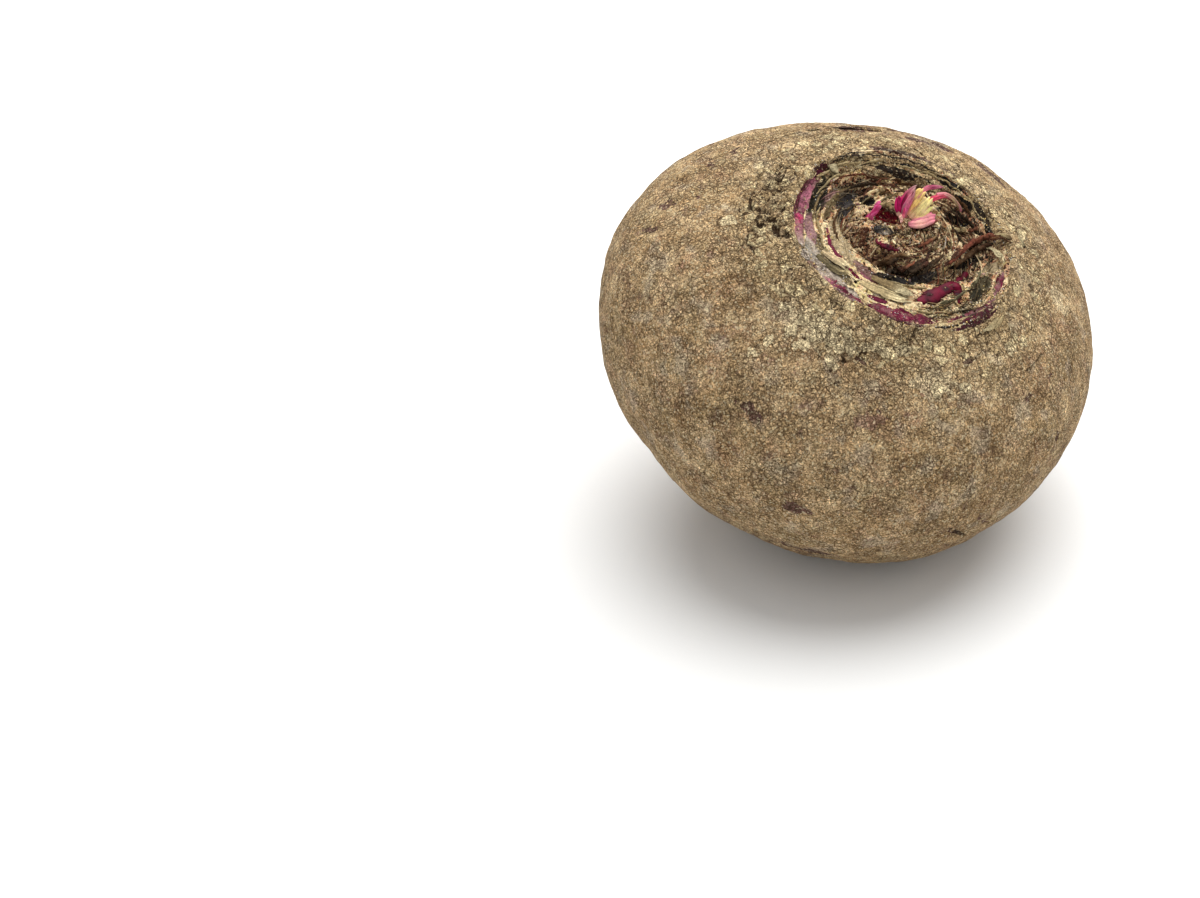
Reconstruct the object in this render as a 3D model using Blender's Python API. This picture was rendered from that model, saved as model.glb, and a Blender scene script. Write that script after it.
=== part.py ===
"""A squat beetroot with its leaves cut off, lying on a small flat spot, its crown leaning to the front right.

Metres, +Z up. The origin is the middle of the rest spot, and -Y is the front. Each piece is worked out in the
root's own frame, where z runs from the tail up through the crown and z = 0 is the widest ring, and is then
leaned over and set down by REST.
"""

import math
from random import Random

import bmesh
import bpy
from mathutils import Matrix, Vector

MM = 0.001

# The root: a turned outline with low lobes
EQUATOR_RADIUS = 46.2 * MM
CROWN_RISE = 28.0 * MM  # widest ring up to where the top would close
ROOT_DROP = 36.8 * MM  # widest ring down to where the bottom would close
CROWN_FULLNESS = 0.925  # under 1 squares the shoulder
ROOT_FULLNESS = 0.90
LOBES = ((2, 0.032, 27.5), (3, 0.020, 49.0))  # how many, share of the radius, azimuth of the first
AROUND = 64

# The hollow in the top, where the leaf stalks were cut out
RIM_RADIUS = 20.0 * MM
RIM_LOBES = ((2, 0.035, 20.0), (5, 0.018, -11.5))
LIP = 0.7 * MM
TERRACE = 23.6 * MM  # height of the ledge inside the rim
DISH_RADIUS = 17.2 * MM
DISH_FLOOR = 20.6 * MM

# The trimmed tail, which bends away along the surface that the root lies on
TAIL_RADIUS = 3.4 * MM
TAIL_WAIST = 1.9 * MM  # where the bend ends
TAIL_TIP_RADIUS = 1.2 * MM
TAIL_BEND_RADIUS = 3.4 * MM
TAIL_BEND = math.radians(72)
TAIL_STRAIGHT = 5.0 * MM

# How it lies
LEAN = math.radians(23.4)
LEAN_AXIS = Vector((1, 1, 0)).normalized()
CENTRE = Vector((-5.2 * MM, 5.2 * MM, 37.5 * MM))  # middle of the widest ring, seen from the rest spot
REST = Matrix.Translation(CENTRE) @ Matrix.Rotation(LEAN, 4, LEAN_AXIS)

# The pieces in the hollow
GAP = 0.35 * MM  # between pieces that touch on the real one
MAT_RADIUS = 16.6 * MM
MOAT = 22.6 * MM
MOUND = 25.0 * MM
HEART = Vector((1.6 * MM, 5.2 * MM, 0))
HEART_HOLE = 3.6 * MM
SIDE_SHOOT = Vector((-6.4 * MM, 3.0 * MM, 0))
SIDE_HOLE = 1.3 * MM
BLADE_THICKNESS = 0.7 * MM

FINISHES = {
    "corky skin": ((0.42, 0.33, 0.20), 0.85),
    "dry stalk": ((0.16, 0.11, 0.07), 0.9),
    "magenta stalk": ((0.55, 0.04, 0.16), 0.45),
    "cream stalk": ((0.80, 0.68, 0.45), 0.5),
    "dusty magenta stalk": ((0.30, 0.08, 0.12), 0.7),
}


def clear_scene():
    for obj in list(bpy.data.objects):
        bpy.data.objects.remove(obj)


def material(name):
    made = bpy.data.materials.get(name)
    if made is None:
        made = bpy.data.materials.new(name)
        made.use_nodes = True
        colour, roughness = FINISHES[name]
        shader = made.node_tree.nodes["Principled BSDF"]
        shader.inputs["Base Color"].default_value = (*colour, 1)
        shader.inputs["Roughness"].default_value = roughness
        shader.inputs["Metallic"].default_value = 0
    return made


def smooth(low, high, x):
    """0 at low and 1 at high, easing in and out."""
    t = min(1.0, max(0.0, (x - low) / (high - low)))
    return t * t * (3 - 2 * t)


def mix(a, b, t):
    return a + (b - a) * t


def ray(azimuth):
    return Vector((math.cos(azimuth), math.sin(azimuth), 0))


def up(height):
    return Vector((0, 0, height))


def waved(table, azimuth):
    """The factor that a table of lobes puts on a radius at an azimuth."""
    return 1 + sum(share * math.cos(count * (azimuth - math.radians(first))) for count, share, first in table)


def turned(count):
    return [2 * math.pi * i / count for i in range(count)]


def finished(name, mesh):
    """An object in the scene made from a bmesh, with its faces turned outward."""
    bmesh.ops.recalc_face_normals(mesh, faces=mesh.faces)
    data = bpy.data.meshes.new(name)
    mesh.to_mesh(data)
    mesh.free()
    obj = bpy.data.objects.new(name, data)
    bpy.context.scene.collection.objects.link(obj)
    return obj


def closed_rings(name, rings, first_pole, last_pole):
    """A closed mesh from rings of points, drawn together to a point at either end."""
    mesh = bmesh.new()
    ends = [mesh.verts.new(first_pole), mesh.verts.new(last_pole)]
    rows = [[mesh.verts.new(point) for point in ring] for ring in rings]
    count = len(rows[0])
    for i in range(count):
        j = (i + 1) % count
        mesh.faces.new((ends[0], rows[0][i], rows[0][j]))
        mesh.faces.new((ends[1], rows[-1][j], rows[-1][i]))
        for upper, lower in zip(rows, rows[1:]):
            mesh.faces.new((upper[i], lower[i], lower[j], upper[j]))
    return finished(name, mesh)


def set_down(obj, finish):
    """Leans a finished piece over with the root and gives it its material."""
    obj.data.transform(REST)
    obj.data.materials.clear()
    obj.data.materials.append(material(finish))
    obj.data.shade_smooth()
    obj.data.set_sharp_from_angle(angle=math.radians(40))


def applied(obj):
    """Replaces an object's mesh with what its modifiers make of it."""
    graph = bpy.context.evaluated_depsgraph_get()
    data = bpy.data.meshes.new_from_object(obj.evaluated_get(graph))
    obj.modifiers.clear()
    obj.data = data


def fused(name, pieces):
    """The pieces as one body: a Boolean union of the first with all the others."""
    body, others = pieces[0], pieces[1:]
    group = bpy.data.collections.new(name)
    for piece in others:
        group.objects.link(piece)
    union = body.modifiers.new("union", "BOOLEAN")
    union.operation = "UNION"
    union.operand_type = "COLLECTION"
    union.collection = group
    union.solver = "MANIFOLD"
    applied(body)
    for piece in others:
        bpy.data.objects.remove(piece)
    bpy.data.collections.remove(group)
    body.name = name
    return body


def rim_shift(azimuth):
    """How far the rim stands outside its mean radius."""
    return RIM_RADIUS * (waved(RIM_LOBES, azimuth) - 1)


def root_top(radius, azimuth):
    """Height of the top as it would be without the hollow."""
    reach = min(1.0, radius / (EQUATOR_RADIUS * waved(LOBES, azimuth)))
    return CROWN_RISE * math.sqrt(max(0.0, 1 - reach ** (2 / CROWN_FULLNESS)))


def crown_point(base, azimuth):
    """A point of the top. The base radius is where it would be if the rim were a circle."""
    radius = base + rim_shift(azimuth) * smooth(29 * MM, 21 * MM, base) * smooth(4 * MM, 15 * MM, base)
    lip = LIP * math.exp(-(((base - RIM_RADIUS - 1.2 * MM) / (1.5 * MM)) ** 2))
    scars = 0.22 * MM * math.sin((base - RIM_RADIUS) / (0.62 * MM)) * smooth(29 * MM, 23 * MM, base)
    height = root_top(radius, azimuth) + lip * (1 + 0.4 * math.sin(3 * azimuth + 0.8)) + scars
    height = mix(height, TERRACE, smooth(20.3 * MM, 19.5 * MM, base))
    height = mix(height, DISH_FLOOR, smooth(17.8 * MM, DISH_RADIUS, base))
    return ray(azimuth) * radius + up(height)


def side_point(radius, height, azimuth):
    """A point of the side: the lobes fade out towards the tail, between two shallow rootlet grooves."""
    fade = smooth(5 * MM, 26 * MM, radius)
    groove = math.exp(-((math.sin(azimuth - 0.6) / 0.2) ** 2)) * smooth(-2 * MM, -16 * MM, height)
    reach = radius * mix(1, waved(LOBES, azimuth), fade) - 0.5 * MM * groove * fade
    return ray(azimuth) * reach + up(height)


def tail_ring(bend, along, radius):
    """A ring of the tail, turned by bend towards the way it curls, at a distance along past the bend."""
    curl = ray(math.radians(135))
    aside = ray(math.radians(225))
    ahead = curl * math.sin(bend) - up(math.cos(bend))
    outward = curl * math.cos(bend) + up(math.sin(bend))
    swing = curl * (1 - math.cos(bend)) - up(math.sin(bend))
    middle = up(-ROOT_DROP + 0.7 * MM) + swing * TAIL_BEND_RADIUS + ahead * along
    angles = [a - math.radians(135) for a in turned(AROUND)]
    return [middle + (outward * math.cos(a) + aside * math.sin(a)) * radius for a in angles], middle, ahead


def root_rings():
    """Rings from the middle of the hollow, over the rim and the widest ring, to where the tail starts."""
    hollow = (6, 12, 16.8, 17.2, 17.5, 17.8, 18.6, 19.5, 19.9, 20.3)
    shoulder = (20.8, 21.4, 22.2, 23.1, 24.1, 25.4, 27, 29, 31.5)
    bases = hollow + shoulder
    for base in bases:
        yield [crown_point(base * MM, a) for a in turned(AROUND)]
    first = math.asin((bases[-1] * MM / EQUATOR_RADIUS) ** (1 / CROWN_FULLNESS))
    last = math.asin((TAIL_RADIUS * 1.2 / EQUATOR_RADIUS) ** (1 / ROOT_FULLNESS))
    for k in range(1, 9):
        turn = mix(first, math.pi / 2, k / 8)
        radius, height = EQUATOR_RADIUS * math.sin(turn) ** CROWN_FULLNESS, CROWN_RISE * math.cos(turn)
        yield [side_point(radius, height, a) for a in turned(AROUND)]
    for k in range(1, 15):
        turn = mix(math.pi / 2, last, k / 14)
        radius, height = EQUATOR_RADIUS * math.sin(turn) ** ROOT_FULLNESS, -ROOT_DROP * math.cos(turn)
        yield [side_point(radius, height, a) for a in turned(AROUND)]


def make_root():
    rings = list(root_rings())
    for share in (0.25, 0.5, 0.75, 1.0):
        rings.append(tail_ring(TAIL_BEND * share, 0, mix(TAIL_RADIUS, TAIL_WAIST, share))[0])
    for share in (0.4, 1.0):
        radius = mix(TAIL_WAIST, TAIL_TIP_RADIUS, share)
        ring, middle, ahead = tail_ring(TAIL_BEND, TAIL_STRAIGHT * share, radius)
        rings.append(ring)
    root = closed_rings("beet_root", rings, up(DISH_FLOOR), middle + ahead * 0.4 * MM)
    set_down(root, "corky skin")
    flatten_below(root)


def flatten_below(obj):
    """Cuts the rest spot: what lies below z = 0 goes, and one flat face closes the cut."""
    mesh = bmesh.new()
    mesh.from_mesh(obj.data)
    whole = mesh.verts[:] + mesh.edges[:] + mesh.faces[:]
    cut = bmesh.ops.bisect_plane(
        mesh, geom=whole, dist=1e-7, plane_co=(0, 0, 0), plane_no=(0, 0, -1), clear_outer=True
    )
    edges = [item for item in cut["geom_cut"] if isinstance(item, bmesh.types.BMEdge)]
    bmesh.ops.contextual_create(mesh, geom=edges)
    bmesh.ops.recalc_face_normals(mesh, faces=mesh.faces)
    mesh.to_mesh(obj.data)
    mesh.free()
    obj.data.shade_smooth()
    obj.data.set_sharp_from_angle(angle=math.radians(40))


def mat_top(point):
    """Height of the dry mat: a mound round the heart, a moat outside it, and a bank up to the ledge."""
    mound = mix(MOUND, MOAT, smooth(4.5 * MM, 9.5 * MM, (point - HEART).length))
    bank = mix(MOAT, TERRACE + 0.6 * MM, smooth(10.0 * MM, 14.5 * MM, point.length))
    return max(mound, bank)


def make_mat():
    """The dry mat: an uneven ring between the hole that the heart stands in and the hollow's wall."""
    around = 48
    upper, lower = [], []
    for share in (0.0, 0.16, 0.33, 0.5, 0.66, 0.82, 0.94, 1.0):
        over, under = [], []
        for a in turned(around):
            inner = HEART + ray(a) * HEART_HOLE
            point = inner.lerp(ray(a) * (MAT_RADIUS + rim_shift(a)), share)
            ripple = 0.30 * MM * math.sin(7 * a + 9 * share) * math.sin(math.pi * share)
            over.append(point + up(mat_top(point) + ripple))
            under.append(point + up(DISH_FLOOR + GAP))
        upper.append(over)
        lower.append(under)
    mesh = bmesh.new()
    loop = [[mesh.verts.new(p) for p in ring] for ring in upper + [lower[-1], lower[0]]]
    for inner, outer in zip(loop, loop[1:] + loop[:1]):
        for i in range(around):
            j = (i + 1) % around
            mesh.faces.new((inner[i], outer[i], outer[j], inner[j]))
    return finished("mat", mesh)


def blade(name, points, widths, sides, thickness):
    """A thin blade with pointed edges: along the points, as wide as widths in the directions of sides."""
    rings = []
    for i, point in enumerate(points):
        ahead = points[min(i + 1, len(points) - 1)] - points[max(i - 1, 0)]
        across = sides[i].normalized() * widths[i] / 2
        normal = ahead.cross(across).normalized() * thickness / 2
        rings.append([point + across, point + normal, point - across, point - normal])
    return closed_rings(name, rings, points[0], points[-1])


def stalk_base(name, radius, start, span, height):
    """What is left of an old leaf stalk: an upright blade on an arc round the crown, lower at its ends."""
    count = max(4, int(span / 9))
    points, widths, sides = [], [], []
    for i in range(count + 1):
        share = i / count
        out = ray(math.radians(start + span * share))
        top = mat_top(out * radius)
        foot = max(DISH_FLOOR + 0.9 * MM, top - 1.4 * MM)
        crest = top + height * (0.35 + 0.65 * math.sin(math.pi * share) ** 0.6)
        points.append(out * radius + up((foot + crest) / 2))
        widths.append(crest - foot)
        sides.append(up(1) + out * 0.25)
    return blade(name, points, widths, sides, BLADE_THICKNESS)


def fibre_points(foot, heading, length, climb, bend):
    """The middle line of a torn fibre, which climbs out of the mat at its foot and bends sideways."""
    aside = Vector((-heading.y, heading.x, 0))
    points = []
    for i in range(5):
        share = i / 4
        lift = -1.0 * MM + climb * math.sin(min(1.0, share * 1.15) * math.pi / 2)
        flat = foot + heading * length * share + aside * bend * share * share
        points.append(flat + up(mat_top(foot) + lift))
    return points


def clear_of_shoots(points):
    """True where a fibre keeps away from the stalks that stand in the mat."""
    flat = [Vector((p.x, p.y, 0)) for p in points]
    side = min((p - SIDE_SHOOT).length for p in flat)
    heart = min((p - HEART).length for p in flat)
    return side > SIDE_HOLE + 1.4 * MM and heart > HEART_HOLE + 0.9 * MM


def make_stalk_bases():
    """The dry brown stalk bases and torn fibres, one body with the mat that they grow from."""
    draw = Random(7)
    pieces = [make_mat()]
    # radius, first azimuth, span, height above the mat
    arcs = [
        (15.4, 62, 80, 1.5),
        (15.6, 152, 38, 1.2),
        (13.4, 100, 74, 1.0),
        (13.6, 182, 34, 1.3),
        (15.3, 292, 38, 1.1),
        (14.9, 338, 56, 1.3),
        (12.6, 28, 58, 1.3),
        (10.9, 120, 62, 1.2),
        (10.6, 196, 70, 0.9),
        (11.4, 322, 46, 1.2),
    ]
    for k, (radius, start, span, height) in enumerate(arcs):
        pieces.append(stalk_base(f"stalk_base{k}", radius * MM, start, span, height * MM))
    for k in range(16):
        out = ray(math.radians(22.5 * k + draw.uniform(-8, 8)))
        foot = HEART * 0.6 + out * draw.uniform(6.2, 8.4) * MM
        turn = Vector((-out.y, out.x, 0)) * draw.choice((-1, 1))
        heading = (turn + out * draw.uniform(-0.1, 0.7)).normalized()
        length, climb = draw.uniform(3.0, 5.2) * MM, draw.uniform(1.2, 2.4) * MM
        points = fibre_points(foot, heading, length, climb, 1.2 * MM)
        if clear_of_shoots(points):
            aside = Vector((-heading.y, heading.x, 0))
            widths = [mix(0.9, 0.35, i / 4) * MM for i in range(5)]
            pieces.append(blade(f"fibre{k}", points, widths, [aside] * 5, BLADE_THICKNESS))
    bases = fused("stalk_bases", pieces)
    bore(bases, SIDE_SHOOT, SIDE_HOLE)
    set_down(bases, "dry stalk")


def bore(obj, centre, radius):
    """A plain hole through the mat, which a shoot stands in."""
    mesh = bmesh.new()
    bmesh.ops.create_cone(mesh, cap_ends=True, segments=10, radius1=radius, radius2=radius, depth=14 * MM)
    bmesh.ops.translate(mesh, verts=mesh.verts, vec=centre + up(DISH_FLOOR + 2 * MM))
    cutter = finished("side_shoot_cutter", mesh)
    cut = obj.modifiers.new("bore", "BOOLEAN")
    cut.operation = "DIFFERENCE"
    cut.object = cutter
    applied(obj)
    bpy.data.objects.remove(cutter)


def stub(name, foot, tip, widths, thickness, bow=0.0):
    """A cut stalk: an oval section carried from foot to tip, bowed sideways in between."""
    axis = tip - foot
    across = axis.cross(Vector((0, 1, 0.2))).normalized()
    normal = axis.cross(across).normalized()
    rings = []
    for i, width in enumerate(widths):
        share = i / (len(widths) - 1)
        point = foot.lerp(tip, share) + normal * bow * math.sin(math.pi * share)
        deep = thickness * width / max(widths)
        rings.append([
            point + (across * math.cos(a) * width + normal * math.sin(a) * deep) / 2 for a in turned(8)
        ])
    return closed_rings(name, rings, foot - axis * 0.01, tip + axis * 0.02)


def make_tuft(name, finish, base, foot_widths, foot_depth, tips):
    """Young stalks that part from one foot. Each tip gives its place from the foot, its width and depth."""
    pieces = [stub(f"{name}_foot", base, base + up(4.6 * MM), [w * MM for w in foot_widths], foot_depth * MM)]
    for k, (right, back, high, width, depth) in enumerate(tips):
        foot = base + Vector((right * 0.15, back * 0.10, 2.7)) * MM
        tip = base + Vector((right, back, high)) * MM
        sizes = [width * MM * s for s in (0.85, 1.0, 0.95, 0.5)]
        pieces.append(stub(f"{name}_tip{k}", foot, tip, sizes, depth * MM, bow=0.35 * MM))
    set_down(fused(name, pieces), finish)


def make_shoots():
    floor = up(DISH_FLOOR + GAP)
    # right, back and up from the foot, width, depth
    magenta = [(-1.4, 2.6, 8.2, 1.5, 1.2), (-0.2, 3.4, 9.0, 1.6, 1.2), (-2.0, 0.6, 6.6, 1.4, 1.1)]
    cream = [(0.5, 3.0, 9.4, 1.5, 1.0), (1.9, 2.4, 8.6, 1.7, 1.0), (1.2, 0.9, 6.4, 1.6, 0.9)]
    base = HEART + Vector((-0.9 * MM, 0, 0)) + floor
    make_tuft("heart_magenta", "magenta stalk", base, (3.2, 3.0, 2.6), 3.2, magenta)
    base = HEART + Vector((1.75 * MM, 0.3 * MM, 0)) + floor
    make_tuft("heart_cream", "cream stalk", base, (1.5, 1.6, 1.7), 2.2, cream)
    foot = SIDE_SHOOT + floor
    tip = foot + Vector((0.5, 1.0, 8.0)) * MM
    sizes = [s * MM for s in (1.3, 1.4, 1.5, 1.2, 0.6)]
    set_down(stub("side_shoot", foot, tip, sizes, 1.1 * MM), "magenta stalk")


def make_ledge_stalk(name, start, span, width, height):
    """A stalk base that lies on the ledge inside the rim: a thick crescent, pointed at both ends."""
    count = max(6, int(span / 6))
    rings, ends = [], []
    for i in range(count + 1):
        share = i / count
        a = math.radians(start + span * share)
        swell = math.sin(math.pi * share) ** 0.6
        half, rise = width / 2 * swell, height * swell
        point = ray(a) * (18.65 * MM + rim_shift(a)) + up(TERRACE + GAP)
        if 0 < i < count:
            rings.append([
                point - ray(a) * half,
                point - ray(a) * half * 0.6 + up(rise * 0.8),
                point + ray(a) * half * 0.5 + up(rise),
                point + ray(a) * half,
            ])
        else:
            ends.append(point)
    set_down(closed_rings(name, rings, ends[0], ends[1]), "dusty magenta stalk")


def main():
    clear_scene()
    make_root()
    make_stalk_bases()
    make_shoots()
    make_ledge_stalk("left_stalk", 146, 50, 1.5 * MM, 1.5 * MM)
    make_ledge_stalk("front_stalk", 228, 62, 1.5 * MM, 1.3 * MM)
    make_ledge_stalk("right_stalk", 306, 46, 1.3 * MM, 1.2 * MM)


main()
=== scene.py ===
# A beetroot with its leaves cut off, in close-up, on a pale surface.
# Every piece is worked out with numpy in the root's own frame, in millimetres: z runs from the tail up through the
# crown, z = 0 is the widest ring, and azimuths are in degrees, 0 to the right. setDown leans it over and places it.

import math
from itertools import product

import bpy
import numpy as np
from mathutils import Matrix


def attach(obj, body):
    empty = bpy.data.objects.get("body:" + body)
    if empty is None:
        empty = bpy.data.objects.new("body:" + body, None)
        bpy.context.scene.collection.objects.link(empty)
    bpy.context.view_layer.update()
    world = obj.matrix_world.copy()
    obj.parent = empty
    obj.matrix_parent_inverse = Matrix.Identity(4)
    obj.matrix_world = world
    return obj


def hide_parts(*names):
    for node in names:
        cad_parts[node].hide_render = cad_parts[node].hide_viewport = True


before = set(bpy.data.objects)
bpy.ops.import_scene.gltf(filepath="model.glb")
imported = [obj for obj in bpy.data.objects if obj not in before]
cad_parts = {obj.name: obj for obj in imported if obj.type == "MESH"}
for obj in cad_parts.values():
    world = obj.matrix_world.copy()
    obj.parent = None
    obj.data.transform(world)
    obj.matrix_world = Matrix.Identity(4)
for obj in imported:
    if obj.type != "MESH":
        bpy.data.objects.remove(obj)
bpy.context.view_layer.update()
print("frame:", sorted(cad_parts))

rest = {
    "lean": 23.4,  # degrees from upright
    "towards": -45.0,  # azimuth that the crown leans to
    "centre": (-5.2, 5.2, 37.5),  # middle of the widest ring, from the middle of the rest spot
}

rootShape = {
    "radius": 46.2,
    "rise": 28.0,
    "drop": 36.8,
    "crownFullness": 0.925,
    "rootFullness": 0.90,
    "lobes": ((2, 0.032, 27.5), (3, 0.020, 49.0)),  # how many, share of the radius, azimuth of the first
    "rim": 20.0,
    "rimLobes": ((2, 0.035, 20.0), (5, 0.018, -11.5)),
    "lip": 0.45,
    "dishFloor": 20.6,
    "tail": (3.4, 1.9, 1.2),  # radius where it starts, where its bend ends, and at its tip
    "tailBend": (3.4, 72.0),
    "tailStraight": 5.0,
    # how far the ledge lies under the rim, by azimuth
    "ledgeDrop": (
        (0, 1.1), (50, 0.9), (100, 0.8), (140, 1.2), (170, 1.7), (196, 0.9), (225, 0.45), (262, 0.6), (292, 1.0),
        (325, 1.5),
    ),
}


# Camera: at the photograph's height and distance, looking along +Y and 35 degrees down

cameraPlace = {"down": 35.0, "lens": 85.0, "away": 525.1, "right": 46.8, "up": 22.5}


def makeCamera():
    tilt = math.radians(cameraPlace["down"])
    ahead = np.array([0, math.cos(tilt), -math.sin(tilt)])
    up = np.array([0, math.sin(tilt), math.cos(tilt)])
    right = np.array([1.0, 0, 0])
    place = np.array(rest["centre"]) - ahead * cameraPlace["away"]
    place = place - right * cameraPlace["right"] - up * cameraPlace["up"]
    data = bpy.data.cameras.new("photo_camera")
    data.lens = cameraPlace["lens"]
    data.sensor_width = 36.0
    data.clip_start = 0.01
    camera = bpy.data.objects.new("photo_camera", data)
    camera.location = place / 1000
    camera.rotation_euler = (math.pi / 2 - tilt, 0, 0)
    bpy.context.scene.collection.objects.link(camera)
    bpy.context.scene.camera = camera


# Numbers and noise, all on whole arrays


def smooth(low, high, x):
    # 0 at low, 1 at high, easing in and out: t * t * (3 - 2 t)
    t = np.clip((x - low) / (high - low), 0, 1)
    return t * t * (3 - 2 * t)


def mix(a, b, t):
    return a + (b - a) * t


def scramble(cell, seed):
    # an even random whole number for each lattice cell: multiply its coordinates by primes, fold and multiply again
    wide = cell.astype(np.uint64)
    h = wide[..., 0] * np.uint64(374761393) + wide[..., 1] * np.uint64(668265263)
    h = h + wide[..., 2] * np.uint64(2246822519) + np.uint64(seed * 3266489917 % 4294967296)
    h = h & np.uint64(0xFFFFFFFF)
    h = ((h ^ (h >> np.uint64(15))) * np.uint64(2246822519)) & np.uint64(0xFFFFFFFF)
    h = ((h ^ (h >> np.uint64(13))) * np.uint64(3266489917)) & np.uint64(0xFFFFFFFF)
    return h ^ (h >> np.uint64(16))


def threeBytes(h):
    # three numbers of 0 to 255 from different bits of each random whole number
    return np.stack([(h >> np.uint64(s)) & np.uint64(255) for s in (0, 8, 16)], -1)


def latticeNoise(points, size, seed):
    # gradient noise, about -1 to 1, with lumps of the given size: each lattice corner's random slope dotted with the
    # way to it, blended by the quintic fade
    p = np.asarray(points) / size
    cell = np.floor(p).astype(np.int64)
    inner = p - cell
    fade = inner**3 * (inner * (inner * 6 - 15) + 10)
    total = np.zeros(p.shape[:-1])
    for corner in np.array(list(product((0, 1), repeat=3))):
        slope = threeBytes(scramble(cell + corner + 4096, seed)) / 127.5 - 1
        weight = np.where(corner, fade, 1 - fade).prod(-1)
        total += weight * (slope * (inner - corner)).sum(-1)
    return total * 1.4


def layeredNoise(points, size, layers, seed):
    # lattice noise summed over octaves, each half the size and half the height of the last
    return sum(latticeNoise(points, size / 2**k, seed + 17 * k) / 2**k for k in range(layers))


def cellNoise(points, size, seed):
    # one random point in each lattice cell: how much further the second nearest is than the nearest, and the nearest
    # one's own random number
    p = np.asarray(points) / size
    cell = np.floor(p).astype(np.int64)
    near = np.full(p.shape[:-1], 9.0)
    second = np.full(p.shape[:-1], 9.0)
    owner = np.zeros(p.shape[:-1])
    for step in product((-1, 0, 1), repeat=3):
        other = cell + np.array(step)
        h = scramble(other + 4096, seed)
        d = np.linalg.norm(other + threeBytes(h) / 255.0 - p, axis=-1)
        closer = d < near
        second = np.where(closer, near, np.minimum(second, d))
        owner = np.where(closer, (h >> np.uint64(20)) % np.uint64(997) / 997.0, owner)
        near = np.where(closer, d, near)
    return (second - near) * size, owner


# The root's own frame


def leanMatrix():
    # turn by the lean about the level axis square to where the crown leans: cos I + sin [a] + (1 - cos) a a'
    t = math.radians(rest["lean"])
    way = math.radians(rest["towards"] + 90)
    a = np.array([math.cos(way), math.sin(way), 0])
    cross = np.array([[0, -a[2], a[1]], [a[2], 0, -a[0]], [-a[1], a[0], 0]])
    return math.cos(t) * np.eye(3) + math.sin(t) * cross + (1 - math.cos(t)) * np.outer(a, a)


def setDown(points):
    # millimetres in the root's frame to metres on the floor, with nothing left below it
    placed = (np.asarray(points) @ leanMatrix().T + np.array(rest["centre"])) / 1000
    placed[..., 2] = np.maximum(placed[..., 2], 0)
    return placed


def ray(azimuth):
    a = np.radians(azimuth)
    return np.stack([np.cos(a), np.sin(a), np.zeros_like(a)], -1)


def polar(azimuth, radius, height=0.0):
    radius = np.asarray(radius, float)
    point = ray(np.asarray(azimuth, float) + 0 * radius) * radius[..., None]
    point[..., 2] += height
    return point


def polarOf(points):
    # the reverse: radius and azimuth
    return np.hypot(points[..., 0], points[..., 1]), np.degrees(np.arctan2(points[..., 1], points[..., 0]))


def waved(table, azimuth):
    # the factor that lobes put on a radius: 1 + the sum of share * cos(count * (azimuth - first))
    return 1 + sum(share * np.cos(count * np.radians(azimuth - first)) for count, share, first in table)


def around(azimuth, table):
    # a number given at a few azimuths, eased between them and closed round the crown
    places, values = np.array(table, float).T
    turn = np.mod(azimuth - places[0], 360) + places[0]
    places = np.append(places, places[0] + 360)
    values = np.append(values, values[0])
    at = np.clip(np.searchsorted(places, turn, side="right") - 1, 0, len(places) - 2)
    t = smooth(0, 1, (turn - places[at]) / (places[at + 1] - places[at]))
    return mix(values[at], values[at + 1], t)


# Meshes


def meshFrom(name, points, faces, attributes, material):
    # an object with its place in its mesh; its faces are turned outward where its signed volume is negative
    flat = points.reshape(-1, 3)
    volume = 0.0
    for corners in faces:
        a, b = flat[corners[:, 0]], flat[corners[:, 1]]
        for k in range(2, corners.shape[1]):
            c = flat[corners[:, k]]
            volume += np.einsum("ij,ij->", a, np.cross(b, c))
            b = c
    if volume < 0:
        faces = [corners[:, ::-1] for corners in faces]
    mesh = bpy.data.meshes.new(name)
    mesh.from_pydata(flat.tolist(), [], [row for corners in faces for row in corners.tolist()])
    mesh.polygons.foreach_set("use_smooth", np.ones(len(mesh.polygons), bool))
    for key, values in attributes.items():
        kind = "FLOAT_COLOR" if values.ndim > 1 else "FLOAT"
        layer = mesh.attributes.new(key, kind, "POINT")
        layer.data.foreach_set("color" if kind == "FLOAT_COLOR" else "value", values.astype(np.float32).ravel())
    mesh.materials.append(material)
    mesh.update()
    piece = bpy.data.objects.new(name, mesh)
    bpy.context.scene.collection.objects.link(piece)
    return piece


def gridFaces(rows, columns):
    # quads of a grid whose columns close into a ring, and a fan to one more point at either end of the rows
    i = np.arange(rows - 1)[:, None] * columns
    j = np.arange(columns)[None, :]
    k = (j + 1) % columns
    quads = np.stack([i + j, i + columns + j, i + columns + k, i + k], -1).reshape(-1, 4)
    j, k = j[0], k[0]
    first = np.stack([np.full(columns, rows * columns), j, k], -1)
    last = (rows - 1) * columns
    second = np.stack([np.full(columns, rows * columns + 1), last + k, last + j], -1)
    return quads, np.concatenate([first, second])


def ringMesh(name, rings, poles, attributes, material):
    # rows by columns of points, closed round, and drawn together to a pole at either end
    rows, columns = rings.shape[:2]
    quads, fans = gridFaces(rows, columns)
    points = np.concatenate([rings.reshape(-1, 3), np.asarray(poles)])
    filled = {}
    for key, values in attributes.items():
        wide = values.reshape(rows * columns, -1)
        ends = np.stack([wide[:columns].mean(0), wide[-columns:].mean(0)])
        filled[key] = np.concatenate([wide, ends])
        if filled[key].shape[1] == 1:
            filled[key] = filled[key][:, 0]
    return meshFrom(name, setDown(points), [quads, fans], filled, material)


def gridNormals(rings):
    # the outward direction at each point of a closed grid: across the ring crossed with along the rows
    along = np.gradient(rings, axis=0)
    across = np.roll(rings, -1, 1) - np.roll(rings, 1, 1)
    normal = np.cross(along, across)
    return normal / np.maximum(np.linalg.norm(normal, axis=-1, keepdims=True), 1e-9)


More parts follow.
